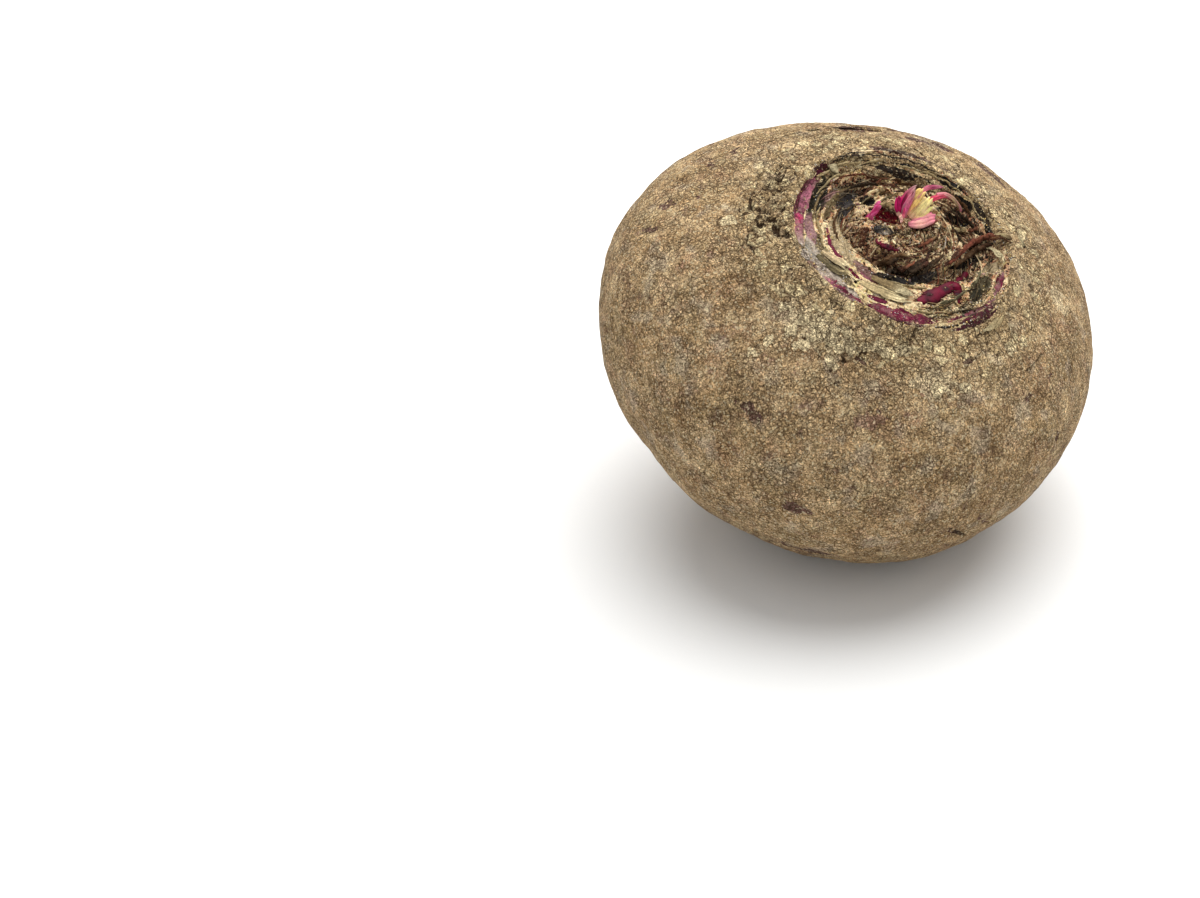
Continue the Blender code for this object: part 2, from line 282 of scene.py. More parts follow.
# Materials: a wire wraps a socket, so that sums on it add nodes


class Wire:
    def __init__(self, shop, socket):
        self.shop = shop
        self.socket = socket

    def sum(self, operation, first, second):
        if "RGBA" in (kindOf(first), kindOf(second)):
            return self.shop.colourMix(1.0, asColour(self.shop, first), asColour(self.shop, second), operation)
        kind = "ShaderNodeVectorMath" if "VECTOR" in (kindOf(first), kindOf(second)) else "ShaderNodeMath"
        return self.shop.node(kind, {"operation": operation}, {0: first, 1: second})

    def __add__(self, other):
        return self.sum("ADD", self, other)

    def __radd__(self, other):
        return self.sum("ADD", other, self)

    def __sub__(self, other):
        return self.sum("SUBTRACT", self, other)

    def __rsub__(self, other):
        return self.sum("SUBTRACT", other, self)

    def __mul__(self, other):
        return self.sum("MULTIPLY", self, other)

    def __rmul__(self, other):
        return self.sum("MULTIPLY", other, self)

    def ramp(self, low, high):
        # 0 at low and 1 at high, eased
        settings = {"interpolation_type": "SMOOTHSTEP"}
        return self.shop.node("ShaderNodeMapRange", settings, {0: self, 1: low, 2: high, 3: 0.0, 4: 1.0})


def kindOf(value):
    return value.socket.type if isinstance(value, Wire) else "VALUE"


def asColour(shop, value):
    if isinstance(value, (int, float)):
        return (value, value, value, 1.0)
    if kindOf(value) == "VALUE" and isinstance(value, Wire):
        return shop.node("ShaderNodeCombineColor", {}, {0: value, 1: value, 2: value})
    return value


class Shop:
    # one material: its nodes, and the Principled shader at their end
    def __init__(self, name, fixed):
        self.material = bpy.data.materials.new(name)
        self.material.use_nodes = True
        self.tree = self.material.node_tree
        self.shader = self.tree.nodes["Principled BSDF"]
        for key, value in fixed.items():
            self.shader.inputs[key].default_value = value

    def node(self, kind, settings, inputs, out=0):
        made = self.tree.nodes.new(kind)
        for key, value in settings.items():
            if key == "stops":
                self.setStops(made.color_ramp, value)
            else:
                setattr(made, key, value)
        for key, value in inputs.items():
            if isinstance(value, Wire):
                self.tree.links.new(value.socket, made.inputs[key])
            elif made.inputs[key].type == "VECTOR" and isinstance(value, (int, float)):
                made.inputs[key].default_value = (value, value, value)
            else:
                made.inputs[key].default_value = value
        return Wire(self, made.outputs[out])

    def setStops(self, ramp, stops):
        while len(ramp.elements) < len(stops):
            ramp.elements.new(0.5)
        for element, (place, colour) in zip(ramp.elements, stops):
            element.position = place
            element.color = colour

    def colourMix(self, factor, first, second, blend="MIX"):
        settings = {"data_type": "RGBA", "blend_type": blend, "clamp_factor": True}
        return self.node("ShaderNodeMix", settings, {0: factor, 6: first, 7: second}, out=2)

    def colours(self, factor, stops):
        return self.node("ShaderNodeValToRGB", {"stops": stops}, {0: factor})

    def place(self):
        # object coordinates in millimetres
        return self.node("ShaderNodeTexCoord", {}, {}, out="Object") * 1000.0

    def attribute(self, name, out="Fac"):
        return self.node("ShaderNodeAttribute", {"attribute_name": name}, {}, out=out)

    def noise(self, place, size, detail, roughness=0.55):
        inputs = {"Vector": place, "Scale": 1.0 / size, "Detail": detail, "Roughness": roughness}
        return self.node("ShaderNodeTexNoise", {}, inputs, out="Fac")

    def cells(self, place, size, feature="F1", out="Distance"):
        return self.node("ShaderNodeTexVoronoi", {"feature": feature}, {"Vector": place, "Scale": 1.0 / size}, out=out)

    def random(self, place, size):
        # one even random number for each cell
        return self.node("ShaderNodeSeparateColor", {}, {0: self.cells(place, size, out="Color")})

    def finish(self, height, depth, **given):
        # depth is how many millimetres a height of 1 stands out; given is what feeds the shader's other sockets
        given["Normal"] = self.node("ShaderNodeBump", {}, {"Strength": 1.0, "Distance": depth / 1000, "Height": height})
        for key, value in given.items():
            self.tree.links.new(value.socket, self.shader.inputs[key.replace("Colour", " Color")])
        return self.material


def tone(red, green, blue, gain=1.30):
    # the base colour that shows as the given screen colour, 0 to 255, where the lights show a surface gain times as
    # bright as its own colour
    screen = np.array([red, green, blue]) / 255
    linear = np.where(screen < 0.04045, screen / 12.92, ((screen + 0.055) / 1.055) ** 2.4)
    return (*(linear / gain).tolist(), 1.0)


def bright(red, green, blue):
    # the same for the crown, which faces the lamp
    return tone(red, green, blue, 1.9)


# Skin: the whole root, with its cork plates, wrinkles and worn places

skin = {
    "columns": 400,
    "swell": (15.0, 0.42),  # size and height of the wide unevenness, mm
    "lumps": (3.2, 0.15),
    "pimples": (0.9, 0.05),
    "plates": (2.6, 0.20, 0.26),  # size, how far they stand up, and depth of the cracks between
    "wrinkles": (1.7, 0.16),
    # patches of short cracks: middle, how far they spread each way, how many
    "crazed": (
        ((-25.6, 0.0, 24.0), (2.0, 3.2, 0), 34), ((-22.6, 9.0, 24.0), (1.4, 2.6, 0), 16),
        ((-10.0, -27.0, 22.0), (5.0, 2.2, 0), 16), ((2.0, 24.0, 23.5), (6.0, 1.2, 0), 12),
    ),
    # of each kind: middle in the root's frame, length, width, turn from level, depth
    "marks": {
        "worn": (
            (-11.1, -44.5, -0.7, 2.6, 1.5, 20, 0.15), (-8.4, -38.9, -19.1, 7.0, 1.2, 5, 0.12),
            (-3.5, -42.5, -14.2, 6.0, 1.2, 8, 0.12), (24.5, -38.0, -1.0, 2.4, 0.5, -40, 0.15),
            (-23.6, -35.5, 11.0, 2.2, 1.3, 0, 0.12), (-7.4, 30.6, 20.1, 4.6, 1.8, 0, 0.12),
            (3.5, 35.4, 17.9, 3.0, 1.3, 0, 0.12), (11.2, 31.1, 20.3, 2.6, 1.6, -10, 0.12),
            (5.5, 30.8, 21.0, 3.4, 1.4, 0, 0.12), (20.0, 27.5, 19.0, 5.0, 2.0, -20, 0.15),
            (-43.1, 0.6, 12.5, 3.4, 0.8, 60, 0.1), (-40.0, 7.0, 14.0, 3.0, 0.8, 50, 0.1),
            (-7.3, -27.9, 22.3, 1.5, 0.6, 0, 0.15), (-34.0, 15.0, 17.6, 2.4, 0.6, 25, 0.1),
            (-36.4, 5.6, 18.2, 2.2, 0.5, 60, 0.1), (-41.2, 5.1, 14.2, 2.6, 0.7, 70, 0.1),
            (-29.3, 19.5, 18.4, 2.0, 0.5, 20, 0.1), (12.5, -23.4, 23.2, 1.7, 0.5, 0, 0.1),
            (26.4, -23.6, 17.9, 1.3, 0.6, 10, 0.1), (30.6, -17.7, 17.8, 1.6, 0.6, 30, 0.1),
            (35.0, -24.3, 9.4, 1.2, 0.7, 60, 0.1), (-24.4, -34.9, 11.2, 2.0, 0.9, 0, 0.1),
            (-2.5, -35.2, 18.4, 0.8, 0.6, 0, 0.1), (19.9, -40.9, -2.5, 3.0, 0.4, -30, 0.15),
            (-2.6, 22.6, 24.6, 3.2, 1.5, -5, 0.1), (4.9, 22.2, 24.8, 1.8, 1.3, -10, 0.1),
        ),
        "crack": (
            (21.0, -40.2, -3.4, 4.2, 0.5, -40, 0.25), (-24.6, -1.6, 24.4, 3.4, 0.5, 60, 0.55),
            (-23.6, -4.0, 24.6, 2.6, 0.6, 15, 0.55), (-22.0, -5.4, 24.9, 1.6, 0.6, 70, 0.5),
            (-26.6, 0.6, 23.9, 2.2, 0.35, 75, 0.35), (-27.7, -8.0, 22.8, 5.6, 0.35, 20, 0.3),
            (-25.8, 6.4, 23.4, 2.4, 0.3, 80, 0.3), (-22.8, 9.6, 24.0, 2.0, 0.3, 60, 0.3),
        ),
        "earth": (
            (-25.5, 1.8, 24.2, 3.4, 2.2, 75, 0.2), (-24.4, -3.6, 24.4, 3.0, 1.8, 30, 0.1),
            (-23.5, 8.0, 24.0, 5.2, 1.8, 70, 0.2), (36.3, -12.1, 15.5, 1.8, 1.0, 0, 0.1),
            (0.4, -23.4, 24.4, 3.2, 1.3, 60, 0.2),
        ),
        "flake": (
            (-31.0, -1.6, 21.8, 1.4, 0.9, 40, -0.08), (-12.8, -24.6, 22.8, 1.7, 1.4, 30, -0.10),
            (-9.4, -26.0, 22.6, 2.0, 1.5, 10, -0.12), (-15.8, -22.8, 22.6, 1.6, 1.1, 50, -0.10),
            (-5.0, -25.4, 23.2, 1.5, 1.3, 0, -0.10), (-12.0, -28.8, 21.0, 1.3, 0.9, 0, -0.08),
            (7.8, -29.7, 21.2, 1.6, 1.2, 0, -0.06), (12.5, -28.0, 21.5, 1.4, 1.0, 30, -0.06),
            (20.9, -18.0, 22.6, 1.2, 0.9, 0, -0.06), (-14.5, -22.7, 23.2, 1.5, 1.08, 20, -0.08),
            (-19.3, -23.8, 21.5, 1.2, 0.86, 60, -0.08), (-10.5, -23.5, 23.6, 1.3, 0.94, 0, -0.08),
            (-21.1, -19.8, 22.4, 1.0, 0.72, 40, -0.08), (-17.9, -22.4, 22.4, 1.4, 1.01, 75, -0.08),
            (-16.0, -24.7, 22.0, 1.1, 0.79, 10, -0.08), (-12.8, -25.5, 22.4, 1.0, 0.72, 50, -0.08),
            (-17.8, -26.3, 20.9, 1.2, 0.86, 30, -0.08), (-22.8, -25.4, 19.5, 1.3, 0.94, 80, -0.08),
            (-25.3, -27.2, 17.3, 1.0, 0.72, 15, -0.08), (-7.3, -25.6, 23.3, 1.1, 0.79, 45, -0.08),
            (-3.3, -26.0, 23.5, 1.3, 0.94, 5, -0.08), (-6.2, -22.6, 24.5, 1.0, 0.72, 70, -0.08),
            (-11.0, -26.7, 22.3, 1.2, 0.86, 25, -0.08), (0.4, -24.8, 24.0, 1.4, 1.01, 35, -0.08),
        ),
        "purple": (
            (5.1, -30.7, 21.0, 2.0, 1.2, 20, 0.1), (-3.8, -36.5, 17.3, 3.0, 1.6, 30, 0.1),
        ),
        "pale": (
            (-14.8, -23.6, 22.8, 6.5, 3.2, 10, 0.0), (6.5, -29.0, 21.4, 5.5, 2.4, 0, 0.0),
            (32.5, -0.9, 20.4, 4.0, 2.4, 60, 0.0),
        ),
    },
}


def rimShift(azimuth):
    # how far the rim stands outside its mean radius
    return rootShape["rim"] * (waved(rootShape["rimLobes"], azimuth) - 1)


def rootTop(radius, azimuth):
    # height of the top without its hollow: rise * sqrt(1 - reach ** (2 / fullness))
    reach = np.minimum(1, radius / (rootShape["radius"] * waved(rootShape["lobes"], azimuth)))
    return rootShape["rise"] * np.sqrt(1 - reach ** (2 / rootShape["crownFullness"]))


def ledgeTop(azimuth):
    return rootTop(rootShape["rim"], azimuth) - around(azimuth, rootShape["ledgeDrop"])


def crownPoint(base, azimuth):
    # the top of the root out of its rim: the turned outline and a low lip, stepping down to the ledge at the rim and
    # then to the dish; base is the radius it would have if the rim were a circle
    radius = base + rimShift(azimuth) * smooth(29, 21, base) * smooth(4, 15, base)
    lip = rootShape["lip"] * np.exp(-(((base - rootShape["rim"] - 1.2) / 1.5) ** 2))
    lip = lip * (1 + 0.4 * np.sin(3 * np.radians(azimuth) + 0.8))
    height = rootTop(radius, azimuth) + lip
    ledge = ledgeTop(azimuth)
    height = mix(height, ledge, smooth(20.5, 19.3, base))
    height = mix(height, rootShape["dishFloor"], smooth(18.4, 16.2, base))
    return polar(azimuth, radius, height)


def sidePoint(radius, height, azimuth):
    # the side: the lobes fade out towards the tail, between two shallow rootlet grooves
    fade = smooth(5, 26, radius)
    groove = np.exp(-((np.sin(np.radians(azimuth) - 0.6) / 0.2) ** 2)) * smooth(-2, -16, height)
    return polar(azimuth, radius * mix(1, waved(rootShape["lobes"], azimuth), fade) - 0.5 * groove * fade, height)


def tailRing(bend, along, radius, azimuth):
    # a ring of the tail, turned by bend towards where it curls, and along past the bend's end
    swing = rootShape["tailBend"][0]
    curl, aside = ray(135.0), ray(225.0)
    down = np.array([0, 0, -1.0])
    ahead = curl * math.sin(bend) + down * math.cos(bend)
    outward = curl * math.cos(bend) - down * math.sin(bend)
    middle = curl * (1 - math.cos(bend)) * swing + down * (math.sin(bend) * swing + rootShape["drop"] - 0.7)
    middle = middle + ahead * along
    a = np.radians(azimuth - 135)
    spokes = outward * np.cos(a)[:, None] + aside * np.sin(a)[:, None]
    return middle + spokes * radius, middle, ahead


def rootRings(azimuth):
    # rows from inside the hollow to the tip of the tail, and the crown radius of each row
    bases = np.concatenate([[8.0, 15.4], np.arange(16.0, 24, 0.19), np.arange(24, 32, 0.30)])
    level = azimuth[None, :]
    rows = [crownPoint(bases[:, None] + 0 * level, level + 0 * bases[:, None])]
    first = math.asin((bases[-1] / rootShape["radius"]) ** (1 / rootShape["crownFullness"]))
    turn = np.linspace(first, math.pi / 2, 36)[1:, None]
    radius = rootShape["radius"] * np.sin(turn) ** rootShape["crownFullness"]
    rows.append(sidePoint(radius + 0 * level, rootShape["rise"] * np.cos(turn) + 0 * level, level + 0 * turn))
    start, waist, tip = rootShape["tail"]
    last = math.asin((start * 1.2 / rootShape["radius"]) ** (1 / rootShape["rootFullness"]))
    turn = np.linspace(math.pi / 2, last, 112)[1:, None]
    radius = rootShape["radius"] * np.sin(turn) ** rootShape["rootFullness"]
    rows.append(sidePoint(radius + 0 * level, -rootShape["drop"] * np.cos(turn) + 0 * level, level + 0 * turn))
    bend = math.radians(rootShape["tailBend"][1])
    tail = []
    for share in np.linspace(0.1, 1, 9):
        tail.append(tailRing(bend * share, 0, mix(start, waist, share), azimuth)[0])
    for share in np.linspace(0.1, 1, 9):
        ring, middle, ahead = tailRing(bend, rootShape["tailStraight"] * share, mix(waist, tip, share), azimuth)
        tail.append(ring)
    rows.append(np.stack(tail))
    rings = np.concatenate(rows)
    base = np.concatenate([bases, np.full(len(rings) - len(bases), 99.0)])
    base = np.where(base[:, None] < 90, base[:, None], polarOf(rings)[0])
    return rings, np.where(rings[..., 2] > 0, base, 99.0), middle + ahead * 0.4


def crazing():
    # short cracks strewn over a patch of skin, most of them pointing at the crown
    draw = np.random.default_rng(5)
    rows = []
    for middle, reach, count in skin["crazed"]:
        spots = np.array(middle) + draw.normal(0, 1, (count, 3)) * np.array(reach)
        spots[:, 2] = rootTop(*polarOf(spots))
        looks = draw.uniform(0, 1, (count, 4))
        for spot, (length, width, turn, depth) in zip(spots, looks):
            rows.append((*spot, 0.5 + 1.3 * length, 0.22 + 0.14 * width, 180 * turn, 0.15 + 0.3 * depth))
    return rows


def markMask(points, mark, ragged):
    # 1 inside an oval round the mark's middle, with a ragged edge: its length lies level, turned towards the crown
    middle, (length, width, turn) = np.array(mark[:3]), mark[3:6]
    away = points - middle
    level = ray(math.degrees(math.atan2(middle[1], middle[0])) + 90)
    up = np.cross(middle / np.linalg.norm(middle), level)
    way = level * math.cos(math.radians(turn)) + up * math.sin(math.radians(turn))
    along = away @ way
    aside = np.sqrt(np.maximum((away**2).sum(-1) - along**2, 0))
    return smooth(1.3, 0.7, np.hypot(along / length, aside / width) + ragged)


def makeSkin():
    azimuth = np.arange(skin["columns"]) * 360 / skin["columns"]
    rings, base, tip = rootRings(azimuth)
    level = np.broadcast_to(azimuth, base.shape)
    size, height = skin["swell"]
    out = height * layeredNoise(rings, size, 3, seed=1) * smooth(15, 30, base)
    size, height = skin["lumps"]
    out += height * layeredNoise(rings, size, 2, seed=2)
    size, height = skin["pimples"]
    out += height * latticeNoise(rings, size, seed=3) * smooth(15, 18, base)
    # cork plates round the crown, thickest at its front left
    size, height, deep = skin["plates"]
    gap, owner = cellNoise(rings + 0.9 * layeredNoise(rings, 2.0, 2, seed=5)[..., None], size, seed=4)
    amount = around(level, ((0, 0.5), (60, 0.5), (100, 0.6), (150, 0.8), (200, 0.9), (250, 1.0), (300, 0.55)))
    reach = around(level, ((0, 27), (60, 26), (120, 28), (180, 34), (230, 34), (270, 31), (320, 27)))
    amount = amount * smooth(reach + 5, reach - 5, base) * smooth(19.6, 21.2, base)
    seam = smooth(0.42, 0.06, gap)
    out += amount * (height * (owner - 0.45) - deep * seam)
    # wrinkles that follow the rim
    size, height = skin["wrinkles"]
    phase = base + 1.3 * layeredNoise(rings, 6.0, 2, seed=6)
    patch = smooth(-0.2, 0.6, layeredNoise(rings, 7.0, 2, seed=7))
    out += height * np.sin(2 * math.pi * phase / size) * patch * smooth(28, 22, base) * smooth(20.2, 21.4, base)
    kinds = {}
    ragged = 0.75 * layeredNoise(rings, 1.6, 3, seed=31)
    for kind, marks in skin["marks"].items():
        kinds[kind] = np.zeros(base.shape)
        for mark in (*marks, *(crazing() if kind == "crack" else ())):
            mask = markMask(rings, mark, ragged)
            kinds[kind] = np.maximum(kinds[kind], mask)
            out -= mark[6] * mask
    rings = rings + gridNormals(rings) * np.clip(out, -1.3, 0.8)[..., None]
    paint = crownPaint(rings)
    paint[..., 3] *= base < 24
    attributes = {
        "crown": smooth(37, 21, base),
        "plate": amount * owner,
        "seam": amount * seam,
        "paint": paint,
        **kinds,
    }
    piece = ringMesh("beet_skin", rings, [(0, 0, rootShape["dishFloor"]), tip], attributes, skinMaterial())
    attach(piece, "root")
    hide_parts("beet_root")


def skinMaterial():
    shop = Shop("corky_skin", {"Specular IOR Level": 0.12})
    place = shop.place()
    warp = shop.node("ShaderNodeTexNoise", {}, {"Vector": place, "Scale": 0.6, "Detail": 4.0}, out="Color")
    shift = shop.node("ShaderNodeVectorMath", {"operation": "SCALE"}, {0: warp, 3: 2.0})
    bent = shop.node("ShaderNodeVectorMath", {"operation": "ADD"}, {0: place, 1: shift})
    crown = shop.attribute("crown")
    wide = shop.noise(place, 9.0, 4.0, 0.6)
    middle = shop.noise(place, 2.6, 3.0, 0.6)
    fine = shop.noise(place, 0.6, 3.0, 0.65)
    grain = shop.noise(place, 0.24, 2.0, 0.75)
    sand = shop.random(place, 0.24)
    grit = shop.random(place + 9.0, 0.38)
    colour = shop.colours(wide * 0.4 + middle * 0.6, (
        (0.34, tone(152, 121, 84)), (0.46, tone(178, 148, 108)), (0.55, tone(194, 165, 124)),
        (0.66, tone(214, 187, 144)),
    ))
    olive = shop.noise(place + 40.0, 6.0, 3.0).ramp(0.48, 0.64)
    colour = shop.colourMix(olive * 0.24, colour, tone(142, 126, 86))
    rosy = shop.noise(place + 90.0, 4.2, 3.0).ramp(0.52, 0.66)
    colour = shop.colourMix(rosy * 0.28, colour, tone(172, 130, 106))
    bloom = shop.noise(place + 130.0, 5.0, 4.0).ramp(0.54, 0.66)
    colour = shop.colourMix(bloom * 0.42, colour, tone(180, 168, 148))
    purple = shop.noise(place + 160.0, 2.6, 4.0, 0.65).ramp(0.58, 0.68) * grain.ramp(0.35, 0.60)
    colour = shop.colourMix(purple * 0.62, colour, tone(112, 80, 80))
    # flakes towards the crown, about two millimetres wide
    flakeTone = shop.random(bent, 2.2)
    flakeEdge = shop.cells(bent, 2.2, "DISTANCE_TO_EDGE")
    inCrown = (crown + middle * 0.5 - 0.25).ramp(0.25, 0.75)
    colour = shop.colourMix(inCrown * 0.30, colour, tone(206, 182, 136))
    flake = (flakeTone.ramp(0.55, 0.75) * flakeEdge.ramp(0.04, 0.20) * inCrown - fine * 0.35).ramp(0.0, 0.5)
    colour = shop.colourMix(flake * 0.75, colour, tone(232, 212, 164))
    plate = shop.attribute("plate").ramp(0.45, 0.95) * fine.ramp(0.30, 0.55)
    colour = shop.colourMix(plate * 0.40, colour, tone(216, 194, 146))
    # marks and the paint of the crown
    ragged = grain * 0.8 + fine * 0.6 + middle * 0.3
    for name, amount, shade in (
        ("purple", 0.45, tone(134, 92, 92)), ("worn", 0.80, tone(84, 54, 58)), ("earth", 0.25, tone(130, 106, 74)),
        ("pale", 0.68, tone(228, 206, 164)), ("crack", 0.9, tone(48, 33, 22)),
    ):
        mask = (shop.attribute(name) * 1.6 - ragged).ramp(0.0, 0.35)
        colour = shop.colourMix(mask * amount, colour, shade)
    lifted = shop.attribute("flake") - fine * 0.25 + 0.12
    colour = shop.colourMix(lifted.ramp(0.42, 0.60) * 0.80, colour, tone(232, 212, 168))
    # painted shadow: a dark ring round the pale lifted flakes, for the shade under their edges
    under = lifted.ramp(0.08, 0.25) * (1.0 - lifted.ramp(0.34, 0.46))
    colour = shop.colourMix(under * 0.60, colour, tone(78, 56, 34))
    cover = (shop.attribute("paint", out="Alpha") * 1.7 - ragged).ramp(0.0, 0.35)
    colour = shop.colourMix(cover, colour, shop.attribute("paint", out="Color"))
    # cork cells almost a millimetre wide, sand and grit on them, and dark cracks between
    edge = shop.cells(bent, 0.84, "DISTANCE_TO_EDGE")
    cellTone = shop.random(bent, 0.84)
    crackHere = shop.noise(place, 5.0, 2.0).ramp(0.36, 0.56)
    crack = (1.0 - edge.ramp(0.0, 0.14)) * (crackHere * 0.85 + 0.15) * fine.ramp(0.22, 0.46)
    net = 1.0 - shop.cells(bent + 21.0, 2.0, "DISTANCE_TO_EDGE").ramp(0.01, 0.06)
    net = net * shop.noise(place + 30.0, 4.0, 2.0).ramp(0.40, 0.56) * fine.ramp(0.25, 0.50)
    split = (1.0 - flakeEdge.ramp(0.0, 0.06)) * (inCrown * 0.75 + 0.25) * middle.ramp(0.38, 0.56)
    rift = 1.0 - shop.cells(bent + 5.0, 1.7, "DISTANCE_TO_EDGE").ramp(0.0, 0.12)
    rift = rift * shop.attribute("earth").ramp(0.2, 0.9)
    colour = colour * (cellTone * 0.24 + 0.88)
    colour = colour * (sand * 0.90 + 0.57)
    colour = colour * (grit * 0.50 + 0.76)
    colour = colour * (grain * 4.2 - 1.03)
    colour = colour * (fine * 0.45 + 0.79)
    spark = shop.random(place + 17.0, 0.30).ramp(0.86, 0.94)
    colour = shop.colourMix(spark * 0.6, colour, tone(244, 226, 184))
    speck = shop.noise(place + 300.0, 0.28, 3.0, 0.7).ramp(0.57, 0.63)
    colour = shop.colourMix(speck * 0.75, colour, tone(70, 47, 27))
    bruise = shop.noise(place + 220.0, 1.3, 4.0, 0.75).ramp(0.65, 0.69)
    colour = shop.colourMix(bruise * 0.65, colour, tone(88, 58, 60))
    colour = shop.colourMix(crack * 0.68, colour, tone(70, 48, 27))
    colour = shop.colourMix(net * 0.50, colour, tone(78, 54, 34))
    colour = shop.colourMix(split * 0.85, colour, tone(62, 42, 25))
    colour = shop.colourMix(rift * fine.ramp(0.30, 0.55) * 0.7, colour, tone(60, 42, 26))
    colour = shop.colourMix(shop.attribute("seam") * fine.ramp(0.35, 0.60) * 0.6, colour, tone(66, 46, 26))
    height = fine * 0.8 + grain * 0.8 + sand * 0.15 - crack * 0.6 - net * 0.6 - split * 0.8 - rift + flake * 0.5
    rough = 0.95 - cover * 0.35
    return shop.finish(height, 0.30, BaseColour=colour, Roughness=rough)


# Crown: what is painted on it, in its own plane, with places read from the ring of leaf scars

crownTurn = -2.5  # degrees from the plane the places are given in to the root's own frame
crownPlane = 24.9
planeStep = (0.222, 0.835)

crownColours = {name: bright(*screen) for name, screen in {
    "vivid": (200, 28, 100), "magenta": (128, 34, 66), "dusty": (186, 140, 138), "mauve": (172, 100, 116),
    "pinkish": (206, 122, 144), "dull": (150, 112, 102), "moss": (58, 54, 40), "olive": (112, 100, 72),
    "rust": (132, 78, 56), "sandy": (224, 198, 154), "blood": (120, 22, 34), "flesh": (88, 18, 42),
    "straw": (200, 178, 132), "cream": (232, 214, 168), "grey": (216, 198, 178), "green": (134, 126, 96),
    "brown": (94, 66, 42), "black": (34, 28, 23), "blue": (98, 92, 90), "dark": (54, 41, 29), "umber": (84, 52, 40),
    "tan": (150, 128, 90), "white": (232, 228, 216), "pink": (232, 104, 156), "rose": (226, 132, 146),
    "blush": (250, 190, 174), "butter": (255, 236, 160), "gold": (240, 204, 124), "lime": (208, 202, 124),
    "crimson": (190, 60, 86), "redbrown": (122, 66, 50), "wine": (46, 6, 18), "wet": (132, 12, 50),
}.items()}

# crescents round the crown: first and last azimuth, radius, width, colour, cover
# the black ones are painted shade in the gaps between the arcs of old bases and between the stalk bases
crescents = (
    (148, 198, 19.3, 2.0, "mauve", 0.9), (152, 180, 19.9, 0.8, "magenta", 0.8), (128, 150, 19.7, 0.9, "flesh", 0.9),
    (79, 104, 22.3, 2.0, "umber", 0.7), (62, 77, 22.4, 1.6, "flesh", 0.6), (54, 136, 20.4, 0.5, "black", 0.8),
    (60, 124, 19.1, 0.5, "black", 0.8), (58, 118, 17.7, 0.7, "black", 0.8), (112, 150, 18.6, 0.4, "black", 0.7),
    (192, 240, 16.4, 2.6, "tan", 0.6), (176, 202, 17.4, 1.9, "dusty", 0.9), (196, 246, 18.2, 2.4, "grey", 0.9),
    (198, 232, 19.2, 1.4, "white", 0.55), (212, 246, 19.3, 1.1, "dusty", 1.0), (228, 246, 18.9, 0.8, "magenta", 0.9),
    (250, 288, 18.3, 2.2, "magenta", 1.0), (262, 284, 19.6, 1.0, "flesh", 0.8), (288, 306, 19.9, 0.5, "black", 1.0),
    (303, 334, 19.9, 1.1, "flesh", 1.0), (297, 331, 20.8, 1.0, "flesh", 0.9), (306, 322, 19.4, 0.6, "magenta", 1.0),
    (342, 356, 19.3, 0.8, "magenta", 0.9), (132, 176, 14.2, 2.0, "tan", 0.8), (168, 228, 12.1, 3.0, "sandy", 0.9),
    (222, 262, 11.8, 2.4, "dull", 0.9), (142, 168, 15.2, 0.8, "dusty", 0.8), (186, 244, 14.1, 0.9, "magenta", 1.0),
    (232, 250, 12.6, 0.7, "mauve", 0.9), (300, 352, 17.4, 2.4, "olive", 0.5), (60, 96, 20.4, 0.5, "black", 1.0),
    (100, 140, 20.9, 0.4, "black", 0.8), (108, 134, 19.8, 0.6, "straw", 0.8),
)

# blots: across, up, half length, half width, turn, colour, cover
# the black ones are painted shade in the pits and crevices of the mat
blots = (
    (-16.0, 5.2, 5.0, 1.6, 78, "moss", 0.85), (-16.8, 7.6, 2.2, 0.9, 65, "black", 0.7),
    (-15.8, 12.5, 2.1, 0.8, 47, "flesh", 0.9), (-13.3, 13.3, 1.4, 0.8, 61, "sandy", 1.0),
    (-10.5, 6.0, 4.2, 1.3, 74, "blue", 0.72), (-11.3, 2.0, 1.7, 0.9, 80, "blue", 0.45),
    (-6.4, 7.9, 1.6, 1.1, 37, "black", 1.0), (-4.6, 14.5, 2.2, 1.8, 0, "rust", 0.5),
    (-7.1, -1.5, 2.7, 0.8, 77, "rust", 0.6), (-2.8, 5.2, 2.3, 2.1, 3, "blood", 1.0),
    (-3.4, 1.5, 2.1, 1.2, 8, "blue", 0.7), (-3.0, 1.0, 1.1, 0.5, 20, "grey", 0.8),
    (1.3, 2.7, 2.3, 1.2, 10, "tan", 0.5), (3.0, -0.4, 2.5, 1.4, 11, "rust", 0.5),
    (-5.2, -4.1, 1.9, 1.0, 0, "rust", 0.5), (10.9, 9.0, 2.3, 1.3, 5, "black", 0.95),
    (11.9, 13.6, 2.4, 1.1, -36, "black", 0.8), (15.0, 12.4, 3.2, 1.1, -56, "dark", 0.8),
    (16.8, 8.6, 1.6, 0.8, -72, "black", 0.8), (8.8, 17.4, 3.4, 0.9, -24, "black", 0.8),
    (-1.1, 16.8, 3.9, 1.1, -4, "black", 0.9), (-0.7, -9.6, 3.8, 0.9, 2, "black", 0.9),
    (4.6, -7.0, 3.4, 1.2, 36, "blue", 0.8), (12.9, -0.8, 3.6, 0.8, 39, "black", 0.95),
    (15.4, -5.9, 3.2, 1.4, 58, "olive", 0.8), (14.6, -8.2, 2.2, 0.9, 60, "moss", 0.9),
    (7.5, -15.0, 3.8, 1.8, 25, "olive", 0.5), (17.3, -0.8, 2.5, 1.0, 47, "sandy", 0.7),
    (13.4, -12.6, 2.6, 0.8, 40, "moss", 0.8), (-15.4, -11.2, 4.4, 1.3, -38, "grey", 0.9),
    (-16.6, -11.6, 1.2, 0.8, -20, "rust", 0.7), (0.8, -17.4, 2.0, 1.4, -25, "magenta", 1.0),
    (2.9, -18.6, 1.5, 0.5, 68, "sandy", 0.9), (-4.0, -15.6, 2.2, 0.6, -8, "magenta", 0.9),
)


